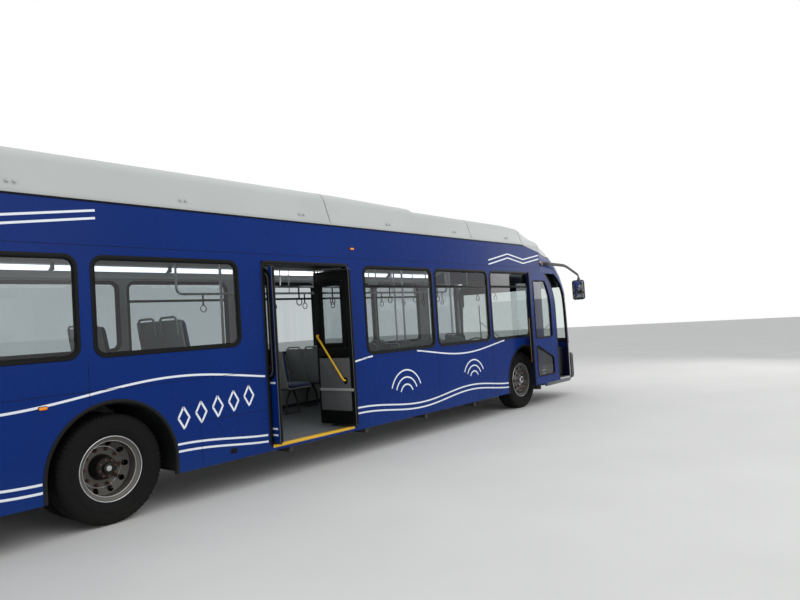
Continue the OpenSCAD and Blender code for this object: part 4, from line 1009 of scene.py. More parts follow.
# Frame, rubber lip and groove round every window, and a transom across the ones that open
def makeWindows():
    d = windowData
    frames, seals, transoms = [], [], []
    w, out, deep = d["frame"], d["proud"], d["depth"]
    section = [(0.0005, -deep), (0.0005, 0.0005), (0.002, out * 0.8), (0.006, out), (w - 0.012, out),
               (w - 0.006, out * 0.6), (w - 0.003, -0.002), (w - 0.002, -deep)]
    lip = [(w - 0.004, -0.019), (w + 0.006, -0.019), (w + 0.007, -0.008), (w + 0.003, -0.002),
           (w - 0.004, -0.001)]
    groove = [(w - 0.016, out - 0.001), (w - 0.006, out - 0.001), (w - 0.006, out + 0.001),
              (w - 0.016, out + 0.001)]
    for side, windows in ((-1, kerbWindows), (1, streetWindows)):
        for x0, x1, z0, z1 in windows:
            r = bus["windowR"] if x0 < driverWindow[0] else d["driverR"]
            frames.append(framePart(x0, x1, z0, z1, r, side, section))
            seals.append(framePart(x0, x1, z0, z1, r, side, lip))
            seals.append(framePart(x0, x1, z0, z1, r, side, groove))
            if z0 < 1.4 and x0 < driverWindow[0]:
                y, z = side * (bus["halfW"] - 0.014), d["transomZ"]
                low, high = (x0 + w - 0.002, y - 0.010, z), (x1 - w + 0.002, y + 0.010, z + d["transomH"])
                transoms.append(blockPart(low, high, 0.004, "yz"))
    makePiece("windowFrames", frames, blackEnamel, "body", ("window_frames",), sharp=40)
    makePiece("windowSeals", seals, sealRubber, "body", sharp=60)
    makePiece("windowTransoms", transoms, blackEnamel, "body")


makeWindows()


# Rear doorway: a dark frame with rounded edges and a yellow nosing on the sill
doorwayData = dict(frame=0.042, proud=0.006)


# Frame swept round the rear doorway's three sides, a cover above it, and nosings on both sills
def makeRearDoorway():
    d = doorwayData
    x0, x1, z0, z1 = bus["doorX0"], bus["doorX1"], bus["sillZ"], bus["doorTopZ"]
    w, out = d["frame"], d["proud"]
    y = -bus["halfW"]
    path = np.array([[x0, y, z0 - 0.004], [x0, y, z1 - 0.015], [x1, y, z1 - 0.015], [x1, y, z0 - 0.004]])
    path = bentPath(path, 0.02, 5)
    section = [(0, 0.045), (0, -out * 0.6), (0.004, -out), (w - 0.004, -out), (w, -out * 0.5), (w, 0.045)]
    frame = sweepPart(path, [(-a, -b) for a, b in section], up=(0, -1, 0))
    top = blockPart((x0 - w, y + 0.002, z1 - 0.015 + w - 0.002), (x1 + w, y + 0.046, z1 + 0.02), 0.004, "yz")
    makePiece("rearDoorFrame", [frame, top], blackEnamel, "body", sharp=40)
    nosing = blockPart((x0 + 0.002, y - 0.004, z0 - 0.030), (x1 - 0.002, y + 0.052, z0 + 0.004), 0.006, "yz")
    makePiece("rearDoorNosing", [nosing], yellowTube, "body")
    x0, x1 = bus["jambX"] + 0.004, bus["postX"] - 0.004
    nosing = blockPart((x0, y - 0.003, z0 - 0.03), (x1, y + 0.05, z0 + 0.004), 0.006, "yz")
    makePiece("frontDoorNosing", [nosing], liningPanel, "body")


makeRearDoorway()
print("fairing, windows and doorways made")


# Lines of white film on the sides: soft waves, ripples, diamonds and slanting pairs, cut where they meet
# a window, doorway or wheel arch
filmData = dict(width=0.021, t=0.0008, margin=0.014, step=0.006)


# True where a point of the side lies on a window, doorway, wheel arch or edge, with the film's margin
def keepOut(x, z, side):
    out = (z < 0.352) | (z > 2.905) | (x < bus["bodyBack"] + 0.02)
    m = filmData["margin"]
    for x0, x1, z0, z1 in (kerbWindows if side < 0 else streetWindows):
        out |= (x > x0 - m) & (x < x1 + m) & (z > z0 - m) & (z < z1 + m)
    for axle in (bus["rearX"], bus["frontX"]):
        out |= np.hypot(x - axle, z - bus["tyreR"]) < bus["archR"] + m
        out |= (np.abs(x - axle) < bus["archR"] + m) & (z < bus["tyreR"])
    if side < 0:
        out |= (x > bus["doorX0"] - 0.06) & (x < bus["doorX1"] + 0.06) & (z < 2.49)
        out |= (x > bus["jambX"] - 0.012) & (z < 2.9)
    else:
        out |= (x > bus["frontStart"] - 0.012)
    return out


# Film strips along a line in the side plane: the line is sampled closely and kept where it runs free
def filmParts(line, side, width):
    line = np.asarray(line, float)
    gone = goneAlong(line)
    count = int(gone[-1] / filmData["step"]) + 2
    along = np.unique(np.concatenate([np.linspace(0, gone[-1], count), gone]))
    x, z = np.interp(along, gone, line[:, 0]), np.interp(along, gone, line[:, 1])
    free = ~keepOut(x, z, side)
    edges = np.flatnonzero(np.diff(np.concatenate([[False], free, [False]]).astype(int)))
    half, t = width / 2, filmData["t"]
    parts = []
    for a, b in zip(edges[::2], edges[1::2]):
        if b - a < 4:
            continue
        px, pz = x[a:b], z[a:b]
        # Points on straight runs are dropped, apart from every tenth
        turn = np.abs(np.diff(np.arctan2(np.diff(pz), np.diff(px))))
        keep = np.concatenate([[True], turn > 0.004, [True]])
        keep[::10] = True
        path = np.stack([px, np.full(b - a, side * bus["halfW"]), pz], 1)[keep]
        parts.append(sweepPart(path, [(-half, 0), (half, 0), (half, t), (-half, t)], up=(0, side, 0)))
    return parts


# Wave along the side: z = middle + rise sin(2 pi x / length + phase)
def waveLine(middle, rise, length, phase):
    x = np.linspace(-6.3, 4.9, 400)
    return np.stack([x, middle + rise * np.sin(2 * np.pi * x / length + phase)], 1)


# Arc round x, z between two angles in degrees
def arcLine(x, z, r, a0, a1):
    a = np.radians(np.linspace(a0, a1, 48))
    return np.stack([x + r * np.cos(a), z + r * np.sin(a)], 1)


# All lines of one side: three waves, three nests of arcs, five diamonds that climb, two paired zigzags
def filmDesign(side):
    lines = [waveLine(1.20, 0.075, 3.4, 0.6), waveLine(0.56, 0.05, 2.6, 2.2), waveLine(0.49, 0.05, 2.6, 2.2)]
    for x, z, turn, radii in ((0.72, 0.66, 20, (0.14, 0.24, 0.34)), (2.45, 0.70, 25, (0.12, 0.21, 0.30)),
                              (-5.35, 0.78, 20, (0.14, 0.24))):
        lines += [arcLine(x, z, r, turn, 180 - turn) for r in radii]
    for k in range(5):
        x, z, w, h = -2.80 + 0.2 * k, 0.86 + 0.03 * k, 0.062, 0.105
        lines.append(np.array([[x - w, z], [x, z + h], [x + w, z], [x, z - h], [x - w, z]]))
    for zigzag in ([[3.1, 2.55], [3.75, 2.68], [4.3, 2.60], [4.9, 2.70]],
                   [[-6.2, 2.62], [-5.3, 2.75], [-4.5, 2.66], [-3.6, 2.78]]):
        lines += [np.array(zigzag), np.array(zigzag) + [0, 0.07]]
    return [part for line in lines for part in filmParts(line, side, filmData["width"])]


makePiece("filmLines", filmDesign(-1) + filmDesign(1), filmLine, "body")


# Thin dark joints between the side panels: uprights as (x, top), all from the skirt, and level lines as
# (height, rear end, front end)
jointData = dict(width=0.004, low=0.34,
                 uprights=[(-3.723, 1.49), (-2.609, 0.80), (1.5, 1.21), (3.06, 1.21), (-5.2, 1.49),
                           (-0.31, 1.21)],
                 levels=[(1.228, -6.34, 4.90), (0.80, -2.609, -1.77), (2.53, -6.34, 4.90)])


# Joint lines on both sides, and the dark slot of an inlet in the kerb side's skirt
def makeJoints():
    d = jointData
    lines = [[[x, d["low"]], [x, top]] for x, top in d["uprights"]]
    lines += [[[x0, z], [x1, z]] for z, x0, x1 in d["levels"]]
    parts = [part for side in (-1, 1) for line in lines for part in filmParts(line, side, d["width"])]
    makePiece("panelJoints", parts, sealRubber, "body")
    dark = [blockPart((-2.27, -1.2975, 0.405), (-2.19, -1.2945, 0.455), 0.002, "xz")]
    makePiece("skirtInlet", dark, sealRubber, "body")


makeJoints()


# Rubber lips round the wheel arches: a bulb profile along a half circle with straight ends
def makeArchLips():
    profile = [(-0.011, -0.03), (0.010, -0.03), (0.012, 0.0), (0.022, 0.001), (0.024, 0.004),
               (0.018, 0.007), (0.004, 0.008), (-0.006, 0.006), (-0.010, 0.0)]
    parts = []
    for axle in (bus["rearX"], bus["frontX"]):
        for side in (-1, 1):
            a = np.linspace(0, np.pi, 49)
            r = bus["archR"] - 0.011
            x = np.concatenate([[axle + r] * 4, axle + r * np.cos(a), [axle - r] * 4])
            z = np.concatenate([np.linspace(bus["skirtZ"], 0.49, 4), bus["tyreR"] + r * np.sin(a),
                                np.linspace(0.49, bus["skirtZ"], 4)])
            path = np.stack([x, np.full(len(x), side * bus["halfW"]), z], 1)[::side]
            parts.append(sweepPart(path, [(-p, q) for p, q in profile], up=(0, side, 0)))
    makePiece("archLips", parts, archRubber, "body", ("arch_trims",), sharp=50)


makeArchLips()


# Wheel house liners: half cylinders of moulded plastic over the wheels
def makeWheelHouses():
    parts = []
    for axle, deep in ((bus["rearX"], 0.52), (bus["frontX"], 0.60)):
        for side in (-1, 1):
            a = np.linspace(0, np.pi, 49)
            r = bus["archR"] - 0.023
            x = np.concatenate([[axle + r], axle + r * np.cos(a), [axle - r]])
            z = np.concatenate([[0.36], bus["tyreR"] + r * np.sin(a), [0.36]])
            across = np.linspace(deep, 1.268, 6)
            points = np.array([[[px, side * y, pz] for px, pz in zip(x, z)] for y in across])
            parts.append(shellPart(points[::side], 0.004))
    makePiece("wheelHouses", parts, archRubber, "body", sharp=50)


makeWheelHouses()
print("film, joints, arch lips and wheel houses made")


# Rear door leaves: u runs from the jamb edge outwards, depth from the outer face inwards
leafData = dict(width=0.6295, thick=0.04, z0=0.414, z1=2.386, edgeY=-0.7625, jambGap=0.025, paneInset=0.095,
                paneZ0=1.18, paneZ1=2.291, maskZ0=1.265, openZ0=1.41, openZ1=2.235, openSide=0.112)


# One leaf: skin, film lines and pane band outside; lining, mask, kick plate, rail and grab bar inside;
# rubber along both edges and a brush below
def makeRearLeaf(name, body, way, outerX):
    d = leafData
    w, t = d["width"], d["thick"]

    # A place on the leaf
    def at(u, z, depth):
        return (outerX + way * depth, d["edgeY"] - u, z)

    # A block on the leaf
    def box(u0, u1, z0, z1, d0, d1, r=0.003, corner=None):
        return slabPart(at(u0, z0, d0), at(u1, z1, d1), r, "yz", corner)

    # A profile carried round a round rectangle on the outer face (-1) or the inner one (1)
    def ring(u0, u1, z0, z1, r, depth, face, profile):
        path = roundRing(d["edgeY"] - u1, d["edgeY"] - u0, z0, z1, r, 8)
        points = inPlane(path if face * way < 0 else path[::-1], "yz", outerX + way * depth)
        return sweepPart(points, profile, up=(way * face, 0, 0), loop=True)

    band = [(-0.002, -0.001), (-0.002, 0.003), (0.001, 0.0055), (0.036, 0.0055), (0.040, 0.003),
            (0.040, -0.001)]
    rubber = [(0.002, -0.001), (0.002, 0.007), (-0.002, 0.009), (-0.012, 0.007), (-0.015, 0.001),
              (-0.015, -0.010)]
    p, z0, z1 = d["paneInset"], d["paneZ0"], d["paneZ1"]
    frames = [ring(p - 0.04, w - p + 0.04, z0 - 0.04, z1 + 0.04, 0.085, 0.0, -1, [(-a, b) for a, b in band])]
    rubbers = [ring(p - 0.004, w - p + 0.004, z0 - 0.004, z1 + 0.004, 0.06, 0.0, -1, rubber)]
    # The black mask on the cabin side leaves a smaller round-cornered opening over the pane
    side, low, high, cut = d["openSide"], d["openZ0"], d["openZ1"], 0.012
    mask = [box(0.008, w - 0.008, d["maskZ0"], low - cut, t, t + 0.0058),
            box(0.008, w - 0.008, high + cut, d["z1"] - 0.006, t, t + 0.0058),
            box(0.008, side - cut, low - cut - 0.002, high + cut + 0.002, t, t + 0.0058),
            box(w - side + cut, w - 0.008, low - cut - 0.002, high + cut + 0.002, t, t + 0.0058),
            ring(side, w - side, low, high, 0.05, t + 0.004, 1, [(a * 1.15, b) for a, b in band[::-1]])]
    side, low, high = side - 0.002, low - 0.002, high + 0.002
    rubbers.append(ring(side, w - side, low, high, 0.05, t + 0.005, 1, rubber))
    z0, z1 = d["z0"], d["z1"]
    kick = [box(0.006, w - 0.006, z0 + 0.004, 0.592, t, t + 0.006)]
    kick += [box(0.020, 0.070, 1.525, 1.595, t, t + 0.012, 0.004, 0.02),
             box(0.462, 0.518, 0.935, 1.015, t, t + 0.016, 0.004, 0.02)]
    kick += [box(w - 0.055, w - 0.002, z0 + 0.006, z1 - 0.006, t, t + 0.0065),
             box(0.002, 0.030, z0 + 0.006, z1 - 0.006, t, t + 0.0065)]
    lines = [box(0.03, w - 0.03, z, z + 0.021, -0.0038, -0.0028, 0.0004) for z in (0.49, 0.56, 1.07)]
    skin = [box(0.004, w - 0.004, z0 + 0.003, 1.128, -0.003, 0.0005, 0.0015),
            box(0.004, p - 0.042, 1.13, z1 - 0.003, -0.003, 0.0005, 0.0015),
            box(w - p + 0.042, w - 0.004, 1.13, z1 - 0.003, -0.003, 0.0005, 0.0015)]
    seals = [box(w - 0.002, w + 0.0095, z0 + 0.004, z1 - 0.004, 0.006, t - 0.006, 0.0055),
             box(-0.009, 0.002, z0 + 0.004, z1 - 0.004, 0.010, t - 0.010, 0.005)]
    grab = [at(0.045, 1.56, t), at(0.045, 1.56, t + 0.045), at(0.49, 0.98, t + 0.045), at(0.49, 0.98, t)]
    for part, parts, material, slot, sharp in (
            ("PaneBand", frames, blackEnamel, "black_frame", 40),
            ("PaneRubber", rubbers, sealRubber, "black_frame", 50),
            ("Lining", [box(0.012, w - 0.012, 0.60, d["maskZ0"] - 0.004, t, t + 0.004)], doorPanel,
             "door_aluminium", 35),
            ("Mask", mask, blackEnamel, "black_frame", 40),
            ("KickPlate", kick, blackEnamel, "black_frame", 35),
            ("Lines", lines, filmLine, "blue_paint", 35),
            ("Rail", [box(0.02, w - 0.012, 0.842, 0.876, t + 0.003, t + 0.016, 0.005)], liningPanel,
             "door_aluminium", 35),
            ("Skin", skin, busPaint, "blue_paint", 35), ("Seals", seals, sealRubber, "bumper_rubber", 35),
            ("Brush", [box(0.335, w - 0.006, z0 - 0.018, z0 + 0.004, 0.014, t - 0.014, 0.002)], bristleMat,
             "bumper_rubber", 35),
            ("GrabBar", [tubePart(grab, 0.0135, 0.03, 14, up=(0, 0.8, -0.6))], yellowTube, "rail_paint", 35)):
        makePiece(name + part, parts, material, body, sharp=sharp)


makeRearLeaf("rearLeafA", "rear_door_a", 1, bus["doorX0"] + leafData["jambGap"])
makeRearLeaf("rearLeafB", "rear_door_b", -1, bus["doorX1"] - leafData["jambGap"])


# The leaf's curved corner, up to height z1: a circle of radius edgeR that meets the upright at x1
def cornerCurve(x1, z1, steps):
    r, middle = frontLeafData["edgeR"], frontLeafData["middle"]
    a = np.linspace(0, math.asin((z1 - middle) / r), steps)
    return np.stack([x1 - r + r * np.cos(a), middle + r * np.sin(a)], 1)


# Outline of a pane with the curved upper front corner, counter-clockwise seen from the kerb side
def curvedPane(x0, x1, z0, z1, r=0.035):
    return softLoop(np.vstack([[[x0, z1], [x0, z0], [x1, z0]], cornerCurve(x1, z1, 16)]), r)


# Closed line with each sharp corner turned on a quadratic curve that reaches r along both sides
def softLoop(points, r):
    out = []
    for before, corner, after in zip(np.roll(points, 1, 0), points, np.roll(points, -1, 0)):
        u, v = before - corner, after - corner
        cosine = (u * v).sum() / np.linalg.norm(u) / np.linalg.norm(v)
        out.append(corner[None] if cosine < -0.97 else bentPath([before, corner, after], r)[1:-1])
    return np.vstack(out)


# Front leaf: rubber round both panes, a bulb along both upright edges, black bands on both faces and a
# yellow handle inside
def makeFrontLeaf():
    d = frontLeafData
    x0, x1 = d["x0"] + d["hingeInset"], d["x1"] - d["frontInset"]
    upper = curvedPane(x0, x1, 1.23, 2.266)
    slope = lambda x: 1.13 + (0.77 - 1.13) * (x - x0) / (d["x1"] - x0)
    lower = softLoop(np.array([[x0, slope(x0) - 0.025], [x0, 0.545], [x1, 0.545], [x1, slope(x1)]]), 0.06)
    edge = np.array([[d["x1"], 0.404], [d["x1"], d["middle"]]])
    front = np.vstack([edge, cornerCurve(d["x1"], d["z1"], 24)[1:]])
    around = [(-0.016, -0.001), (-0.014, 0.005), (-0.004, 0.008), (0.006, 0.007), (0.010, 0.001),
              (0.010, -0.010)]
    flatBand = [(-0.001, -0.0005), (-0.001, 0.0022), (0.029, 0.0022), (0.029, -0.0005)]
    faces = ((-1, d["y0"]), (1, d["y0"] + d["thick"]))
    rubbers = [sweepPart(inPlane(loop[::-face], "xz", y), around, up=(0, face, 0), loop=True)
               for loop in (upper, lower) for face, y in faces]
    makePiece("frontLeafRubber", rubbers, sealRubber, "front_door", sharp=50)
    bulb = [(0.0, -0.012), (0.0025, -0.013), (0.004, -0.007), (0.0043, 0.0), (0.004, 0.007), (0.0025, 0.013),
            (0.0, 0.012)]
    back = np.array([(d["x0"], 2.408), (d["x0"], 0.410)])
    middle = d["y0"] + d["thick"] / 2
    seals = [sweepPart(inPlane(line, "xz", middle), bulb, up=(0, -1, 0)) for line in (front, back)]
    bands = []
    for face, y in faces:
        bands.append(sweepPart(inPlane(front[::face], "xz", y), flatBand, up=(0, face, 0)))
        low, high = (d["x0"] + 0.001, y, 0.406), (d["x0"] + 0.046, y + face * 0.0026, 2.412)
        bands.append(slabPart(low, high, 0.001, "xz"))
    makePiece("frontLeafBands", bands, blackEnamel, "front_door")
    makePiece("frontLeafSeals", seals, sealRubber, "front_door", sharp=50)
    handle = [(4.22, -1.44, 1.60), (4.22, -1.39, 1.60), (4.22, -1.39, 0.80), (4.22, -1.44, 0.80)]
    makePiece("frontLeafHandle", [tubePart(handle, 0.0125, 0.03, 12, up=(1, 0, 0))], yellowTube, "front_door")


makeFrontLeaf()
print("doors made")


# Passenger seats: a moulded shell with a crowned, stitched cushion and back, on a cantilever frame.
# Each row says where the seat stands: x, y of its middle, floor height and the turn of its front from +X
seatData = dict(width=0.42, cushionT=0.055, crown=0.022, backT=0.045, rake=10, stitches=3, driverWidth=0.48)
seatRows = ([(bus["rearX"] + dx, side * (bus["inW"] - 0.002 - 0.42 + k * 0.21), z, 0)
             for dx, z in ((-1.75, bus["highFloorZ"]), (1.1, bus["highFloorZ"]), (3.8, bus["floorZ"]),
                           (4.6, bus["floorZ"]), (5.4, bus["floorZ"]), (6.2, bus["floorZ"]))
             for side in (-1, 1) for k in (-1, 1)]
            + [(bus["doorX0"] + 0.23 + 0.45 * i, bus["inW"] - 0.32, bus["floorZ"], -90) for i in range(3)])


# A stuffed pad: round rectangles that shrink from the welt to the middle while they rise by
# thick / 2 (1 - s^6)^(1/3) + crown (1 - s^2), with shallow stitched channels across it
def padPart(width, length, thick, crown, stitches, corner=0.05, steps=9, rows=12):
    s = np.cos(np.linspace(0, np.pi / 2, rows + 1))[:-1]
    rings = []
    for sign, order in ((1, s[::-1]), (-1, s)):
        for k in order:
            a, b = width / 2 * k, length / 2 * k
            ring = roundRing(-a, a, -b, b, corner * k, steps)
            rise = thick / 2 * (1 - k ** 6) ** (1 / 3) + crown * (1 - k ** 2) * (sign > 0)
            channel = np.exp(-((ring[:, 1] * (stitches + 1) / length + 0.5) % 1 - 0.5) ** 2 / 0.003)
            rings.append(np.column_stack([ring, sign * rise - sign * 0.004 * channel * (1 - k ** 4)]))
    return loftPart(np.stack(rings))


# Turns a part about Y by tilt, then about Z by turn, both in degrees, and moves it
def placedPart(part, tilt, turn, offset):
    a, b = math.radians(tilt), math.radians(turn)
    ty = np.array([[math.cos(a), 0, math.sin(a)], [0, 1, 0], [-math.sin(a), 0, math.cos(a)]])
    tz = np.array([[math.cos(b), -math.sin(b), 0], [math.sin(b), math.cos(b), 0], [0, 0, 1]])
    return part[0] @ (tz @ ty).T + np.asarray(offset, float), part[1], part[2]


# One seat's cushion, its back leaning by rake, and the shell, a flat section carried under and behind them
def seatParts(x, y, floor, turn, width):
    d = seatData
    flip = lambda part: (part[0][:, [1, 0, 2]] * [1, -1, 1], part[1], part[2])
    base = flip(padPart(width - 0.02, 0.40, d["cushionT"], d["crown"], d["stitches"]))
    back = flip(padPart(width - 0.03, 0.46, d["backT"], d["crown"] * 0.8, d["stitches"]))
    tilted = lambda part, tilt, dx, dz: placedPart(part, tilt, 0, (dx, 0, dz))
    here = lambda part, *tilting: placedPart(tilted(part, *tilting), 0, turn, (x, y, floor))
    cushion = here(base, 0, 0.03, 0.425)
    rest = here(back, 90 - d["rake"], -0.250, 0.725)
    a = np.linspace(0, 1, 22)
    under = np.stack([0.225 - 0.44 * a ** 0.9, 0 * a, 0.392 + 0 * a], 1)
    behind = np.array([[-0.235, 0, 0.395], [-0.252, 0, 0.42], [-0.262, 0, 0.47], [-0.290, 0, 0.62],
                       [-0.318, 0, 0.80], [-0.338, 0, 0.955]])
    section = roundRing(-width / 2 + 0.004, width / 2 - 0.004, -0.007, 0.007, 0.006, 3)
    return cushion, rest, here(sweepPart(np.vstack([under, behind]), section, up=(0, 0.001, 1)), 0, 0, 0)


# Two bent tubes under a plate, standing on a foot
def seatLegs():
    return [tubePart([(0.12, 0, 0.012), (0.10, 0, 0.20), (0.0, 0, 0.385)], 0.016, 0.08, 10, up=(0, 1, 0)),
            tubePart([(-0.14, 0, 0.012), (-0.12, 0, 0.20), (-0.02, 0, 0.385)], 0.016, 0.08, 10, up=(0, 1, 0)),
            blockPart((-0.16, -0.03, 0.001), (0.14, 0.03, 0.012), 0.004),
            blockPart((-0.18, -0.19, 0.370), (0.18, 0.19, 0.388), 0.006)]


# All seats of one kind, each with a bow of tube over its back
def makeSeats(name, rows, width, node):
    half = width / 2 - 0.06
    bow = [(-0.335, -half, 0.80), (-0.352, -half, 0.985), (-0.352, half, 0.985), (-0.335, half, 0.80)]
    pads, shells, legs, rails = [], [], [], []
    for x, y, floor, turn in rows:
        cushion, rest, shell = seatParts(x, y, floor, turn, width)
        pads += [cushion, rest]
        shells.append(shell)
        legs += [placedPart(part, 0, turn, (x, y, floor)) for part in seatLegs()]
        rails.append(placedPart(tubePart(bow, 0.0125, 0.05, 10, up=(1, 0, 0.1)), 0, turn, (x, y, floor)))
    pad = makePiece(name + "Pads", pads, moquette, "body", (node,), sharp=60)
    makePiece(name + "Shells", shells, shellPlastic, "body", sharp=50)
    makePiece(name + "Legs", legs, chassisPaint, "body")
    makePiece(name + "Handles", rails, shellPlastic, "body")


makeSeats("passengerSeat", seatRows, seatData["width"], "passenger_seats")
driverRow = (bus["frontX"] + 1.02, 0.69, bus["floorZ"], 0)
makeSeats("driverSeat", [driverRow], seatData["driverWidth"], "driver_seat")
print("seats made")


# Cabin: opal strips and coves, handrails with straps, stanchions and trim
cabinData = dict(stripX=(-6.1, 4.6), panel=1.52, gap=0.03, ceilingX=(-6.3, 4.86), railX=(-1.6, 4.55),
                 railY=0.62, railZ=2.22, strapPitch=0.62, strapLoopR=0.045, tubeR=0.0165)


# Ceiling: strips panel by panel with a joint after each, coves that come down to the windows on the arc
# y = 1.02 + 0.205 sin a, z = 2.475 + 0.115 cos a, and a centre sheet z = 2.72 - 0.02 (y / 0.76)^2
def makeCeiling():
    d = cabinData
    ring = np.array([[0.985, 2.600], [0.987, 2.588], [1.035, 2.548], [1.052, 2.546], [1.056, 2.562],
                     [1.000, 2.606]])
    a = np.linspace(0, np.pi / 2, 9)
    arc = np.stack([1.02 + 0.205 * np.sin(a), 2.475 + 0.115 * np.cos(a)], 1)
    cove = np.vstack([[[0.74, 2.695], [0.84, 2.69], [0.86, 2.66]], arc])
    strips, coves, joints = [], [], []
    for side in (-1, 1):
        x = d["stripX"][0]
        while x < d["stripX"][1] - 0.3:
            end = min(x + d["panel"], d["stripX"][1])
            rings = [inPlane(ring * [side, 1], "yz", k) for k in (x, x + 0.01, end - 0.01, end)]
            strips.append(loftPart(np.stack(rings)))
            x = end + d["gap"]
            joints.append(slabPart((end - 0.002, side * 0.94, 2.54), (x + 0.002, side * 1.06, 2.64), 0.006))
        sheet = [inPlane(cove * [side, 1], "yz", k) for k in np.linspace(*d["ceilingX"], 3)]
        coves.append(shellPart(np.stack(sheet)[::-side], 0.006))
    makePiece("lightStrips", strips, lightStrip, "body")
    makePiece("coveCovers", coves, liningPanel, "body", sharp=40)
    makePiece("stripJoints", joints, dashPlastic, "body")
    y = np.linspace(-0.76, 0.76, 15)
    centre = np.stack([y, 2.72 - 0.02 * (y / 0.76) ** 2], 1)
    sheet = np.stack([inPlane(centre, "yz", k) for k in d["ceilingX"][::-1]])
    makePiece("ceilingCentre", [shellPart(sheet, 0.008)], liningPanel, "body", ("ceiling",))


# Two handrails with straps on flat webs, stanchions on turned feet, guards by the rear doorway, a yellow
# step edge, coving along the floor and the cover over the rear door's gear
def makeRails():
    d = cabinData
    r, z, (x0, x1) = d["tubeR"], d["railZ"], d["railX"]
    web, wire = roundRing(-0.013, 0.013, -0.0015, 0.0015, 0.001, 2), circleRing(0.006, 8)
    tubes, yellow, straps, mounts = [], [], [], []
    for side in (-1, 1):
        y = side * d["railY"]
        rail = [(x0, y, 2.68), (x0, y, z), (x1, y, z), (x1, y, 2.68)]
        tubes.append(tubePart(rail, r, 0.1, 14, up=(0, 1, 0)))
        for x in np.arange(-1.2, 4.4, d["strapPitch"]):
            straps.append(sweepPart([(x, y, z + 0.015), (x, y, z - 0.16)], web, up=(0, 1, 0)))
            loop = inPlane(circleRing(d["strapLoopR"], 24) + [x, z - 0.20], "xz", y)
            straps.append(sweepPart(loop, wire, up=(0, 1, 0), loop=True))
            drop = [(x + d["strapPitch"] / 2, y, z), (x + d["strapPitch"] / 2, y, 2.69)]
            mounts.append(tubePart(drop, 0.009, 0.02, 8, up=(0, 1, 0)))
    low, high = bus["floorZ"], bus["highFloorZ"]
    for x, side, floor, group in ((-1.80, -1, high, tubes), (-0.28, -1, low, yellow), (0.05, 1, low, tubes),
                                  (1.59, -1, low, tubes), (1.59, 1, low, yellow), (2.89, -1, low, tubes),
                                  (2.89, 1, low, tubes), (4.2, -1, low, yellow)):
        y = side * d["railY"]
        group.append(tubePart([(x, y, floor + 0.002), (x, y, 2.705)], r, 0.05, 16, up=(0, 1, 0)))
        foot = [(0.04, 0.0), (0.04, 0.006), (0.022, 0.012), (r, 0.03)]
        mounts.append(lathePart(foot, (x, y, floor + 0.001), "z", 24))
    for x in (-0.27, -1.80):
        tubes.append(tubePart([(x, -1.20, 1.30), (x, -0.62, 1.30)], 0.014, 0.03, 12, up=(0, 0, 1)))
    makePiece("handrails", tubes, stainlessTube, "body", ("grab_rails",))
    makePiece("yellowStanchions", yellow, yellowTube, "body")
    makePiece("straps", straps, sealRubber, "body")
    makePiece("railMounts", mounts, stainlessTube, "body")
    guards = [blockPart((x, -1.235, foot), (x + 0.012, -0.66, 1.26), 0.004, "yz", 0.05)
              for x, foot in ((-0.262, 0.50), (-1.822, 0.62))]
    makePiece("doorGuards", guards, dashPlastic, "body")
    edge = blockPart((-1.955, -1.243, 0.868), (-1.915, 1.243, 0.8845), 0.004, "yz")
    makePiece("stepNosing", [edge], yellowTube, "body")
    clear, coving = bus["archR"] + 0.035, []
    for side, start in ((-1, -0.33), (1, -1.9)):
        for x0, x1, z0, z1 in ((-6.3, bus["rearX"] - clear, 0.885, 0.93),
                               (bus["rearX"] + clear, bus["stepX"], 0.885, 0.93),
                               (start, bus["frontX"] - clear, 0.39, 0.44)):
            coving.append(slabPart((x0, side * 1.232, z0), (x1, side * 1.2445, z1), 0.004, "yz"))
    makePiece("floorCoving", coving, dashPlastic, "body")
    x0, x1 = bus["doorX0"] - 0.03, bus["doorX1"] + 0.03
    cover = blockPart((x0, -1.243, 2.415), (x1, -0.80, 2.56), 0.012, "yz", 0.02)
    makePiece("doorGearCover", [cover], blackEnamel, "body")


makeCeiling()
makeRails()


# Dashboard: a rounded binnacle with a hood, a shelf along the windscreen and a steering column
def makeDash():
    parts = [blockPart((5.60, 0.16, 0.39), (6.12, 1.14, 1.00), 0.05, "yz", 0.12),
             blockPart((5.93, -1.10, 0.39), (6.16, 0.17, 0.97), 0.04, "yz", 0.06),
             blockPart((5.66, 0.36, 0.98), (5.98, 1.02, 1.07), 0.035, "xy", 0.12)]
    makePiece("dashboard", parts, dashPlastic, "body", ("dash",))
    column = tubePart([(5.50, 0.69, 1.10), (5.66, 0.69, 0.76)], 0.035, 0.02, 18, up=(0, 1, 0))
    makePiece("steeringColumn", [column], dashPlastic, "body")


makeDash()
print("cabin made")


# Bumpers: a moulded beam that follows the nose, with a stepped face, and a straight one at the back
bumperData = dict(z0=0.352, z1=0.842, startX=5.99, r=0.30, columns=121)


# Plan of the nose over the bumper: side line, quarter circle and bow, from the kerb side round
def nosePath(nose, half, r, startX, columns):
    turn = np.linspace(0, np.pi / 2, 40)
    middle, flat = nose - frontBow - r, half - r
    side = np.stack([np.linspace(startX, max(middle, startX + 0.001), 6), np.full(6, half)], 1)
    corner = np.stack([middle + r * np.sin(turn), flat + r * np.cos(turn)], 1)
    corner = corner[corner[:, 0] > startX + 0.002]
    y = np.linspace(flat, 0, 40)
    bow = np.stack([nose - frontBow * (y / flat) ** 2, y], 1)
    quarter = np.vstack([side[:-1], corner[:-1], bow]) * [1, -1]
    return alongLine(np.vstack([quarter[:-1], quarter[::-1] * [1, -1]]), np.linspace(0, 1, columns))


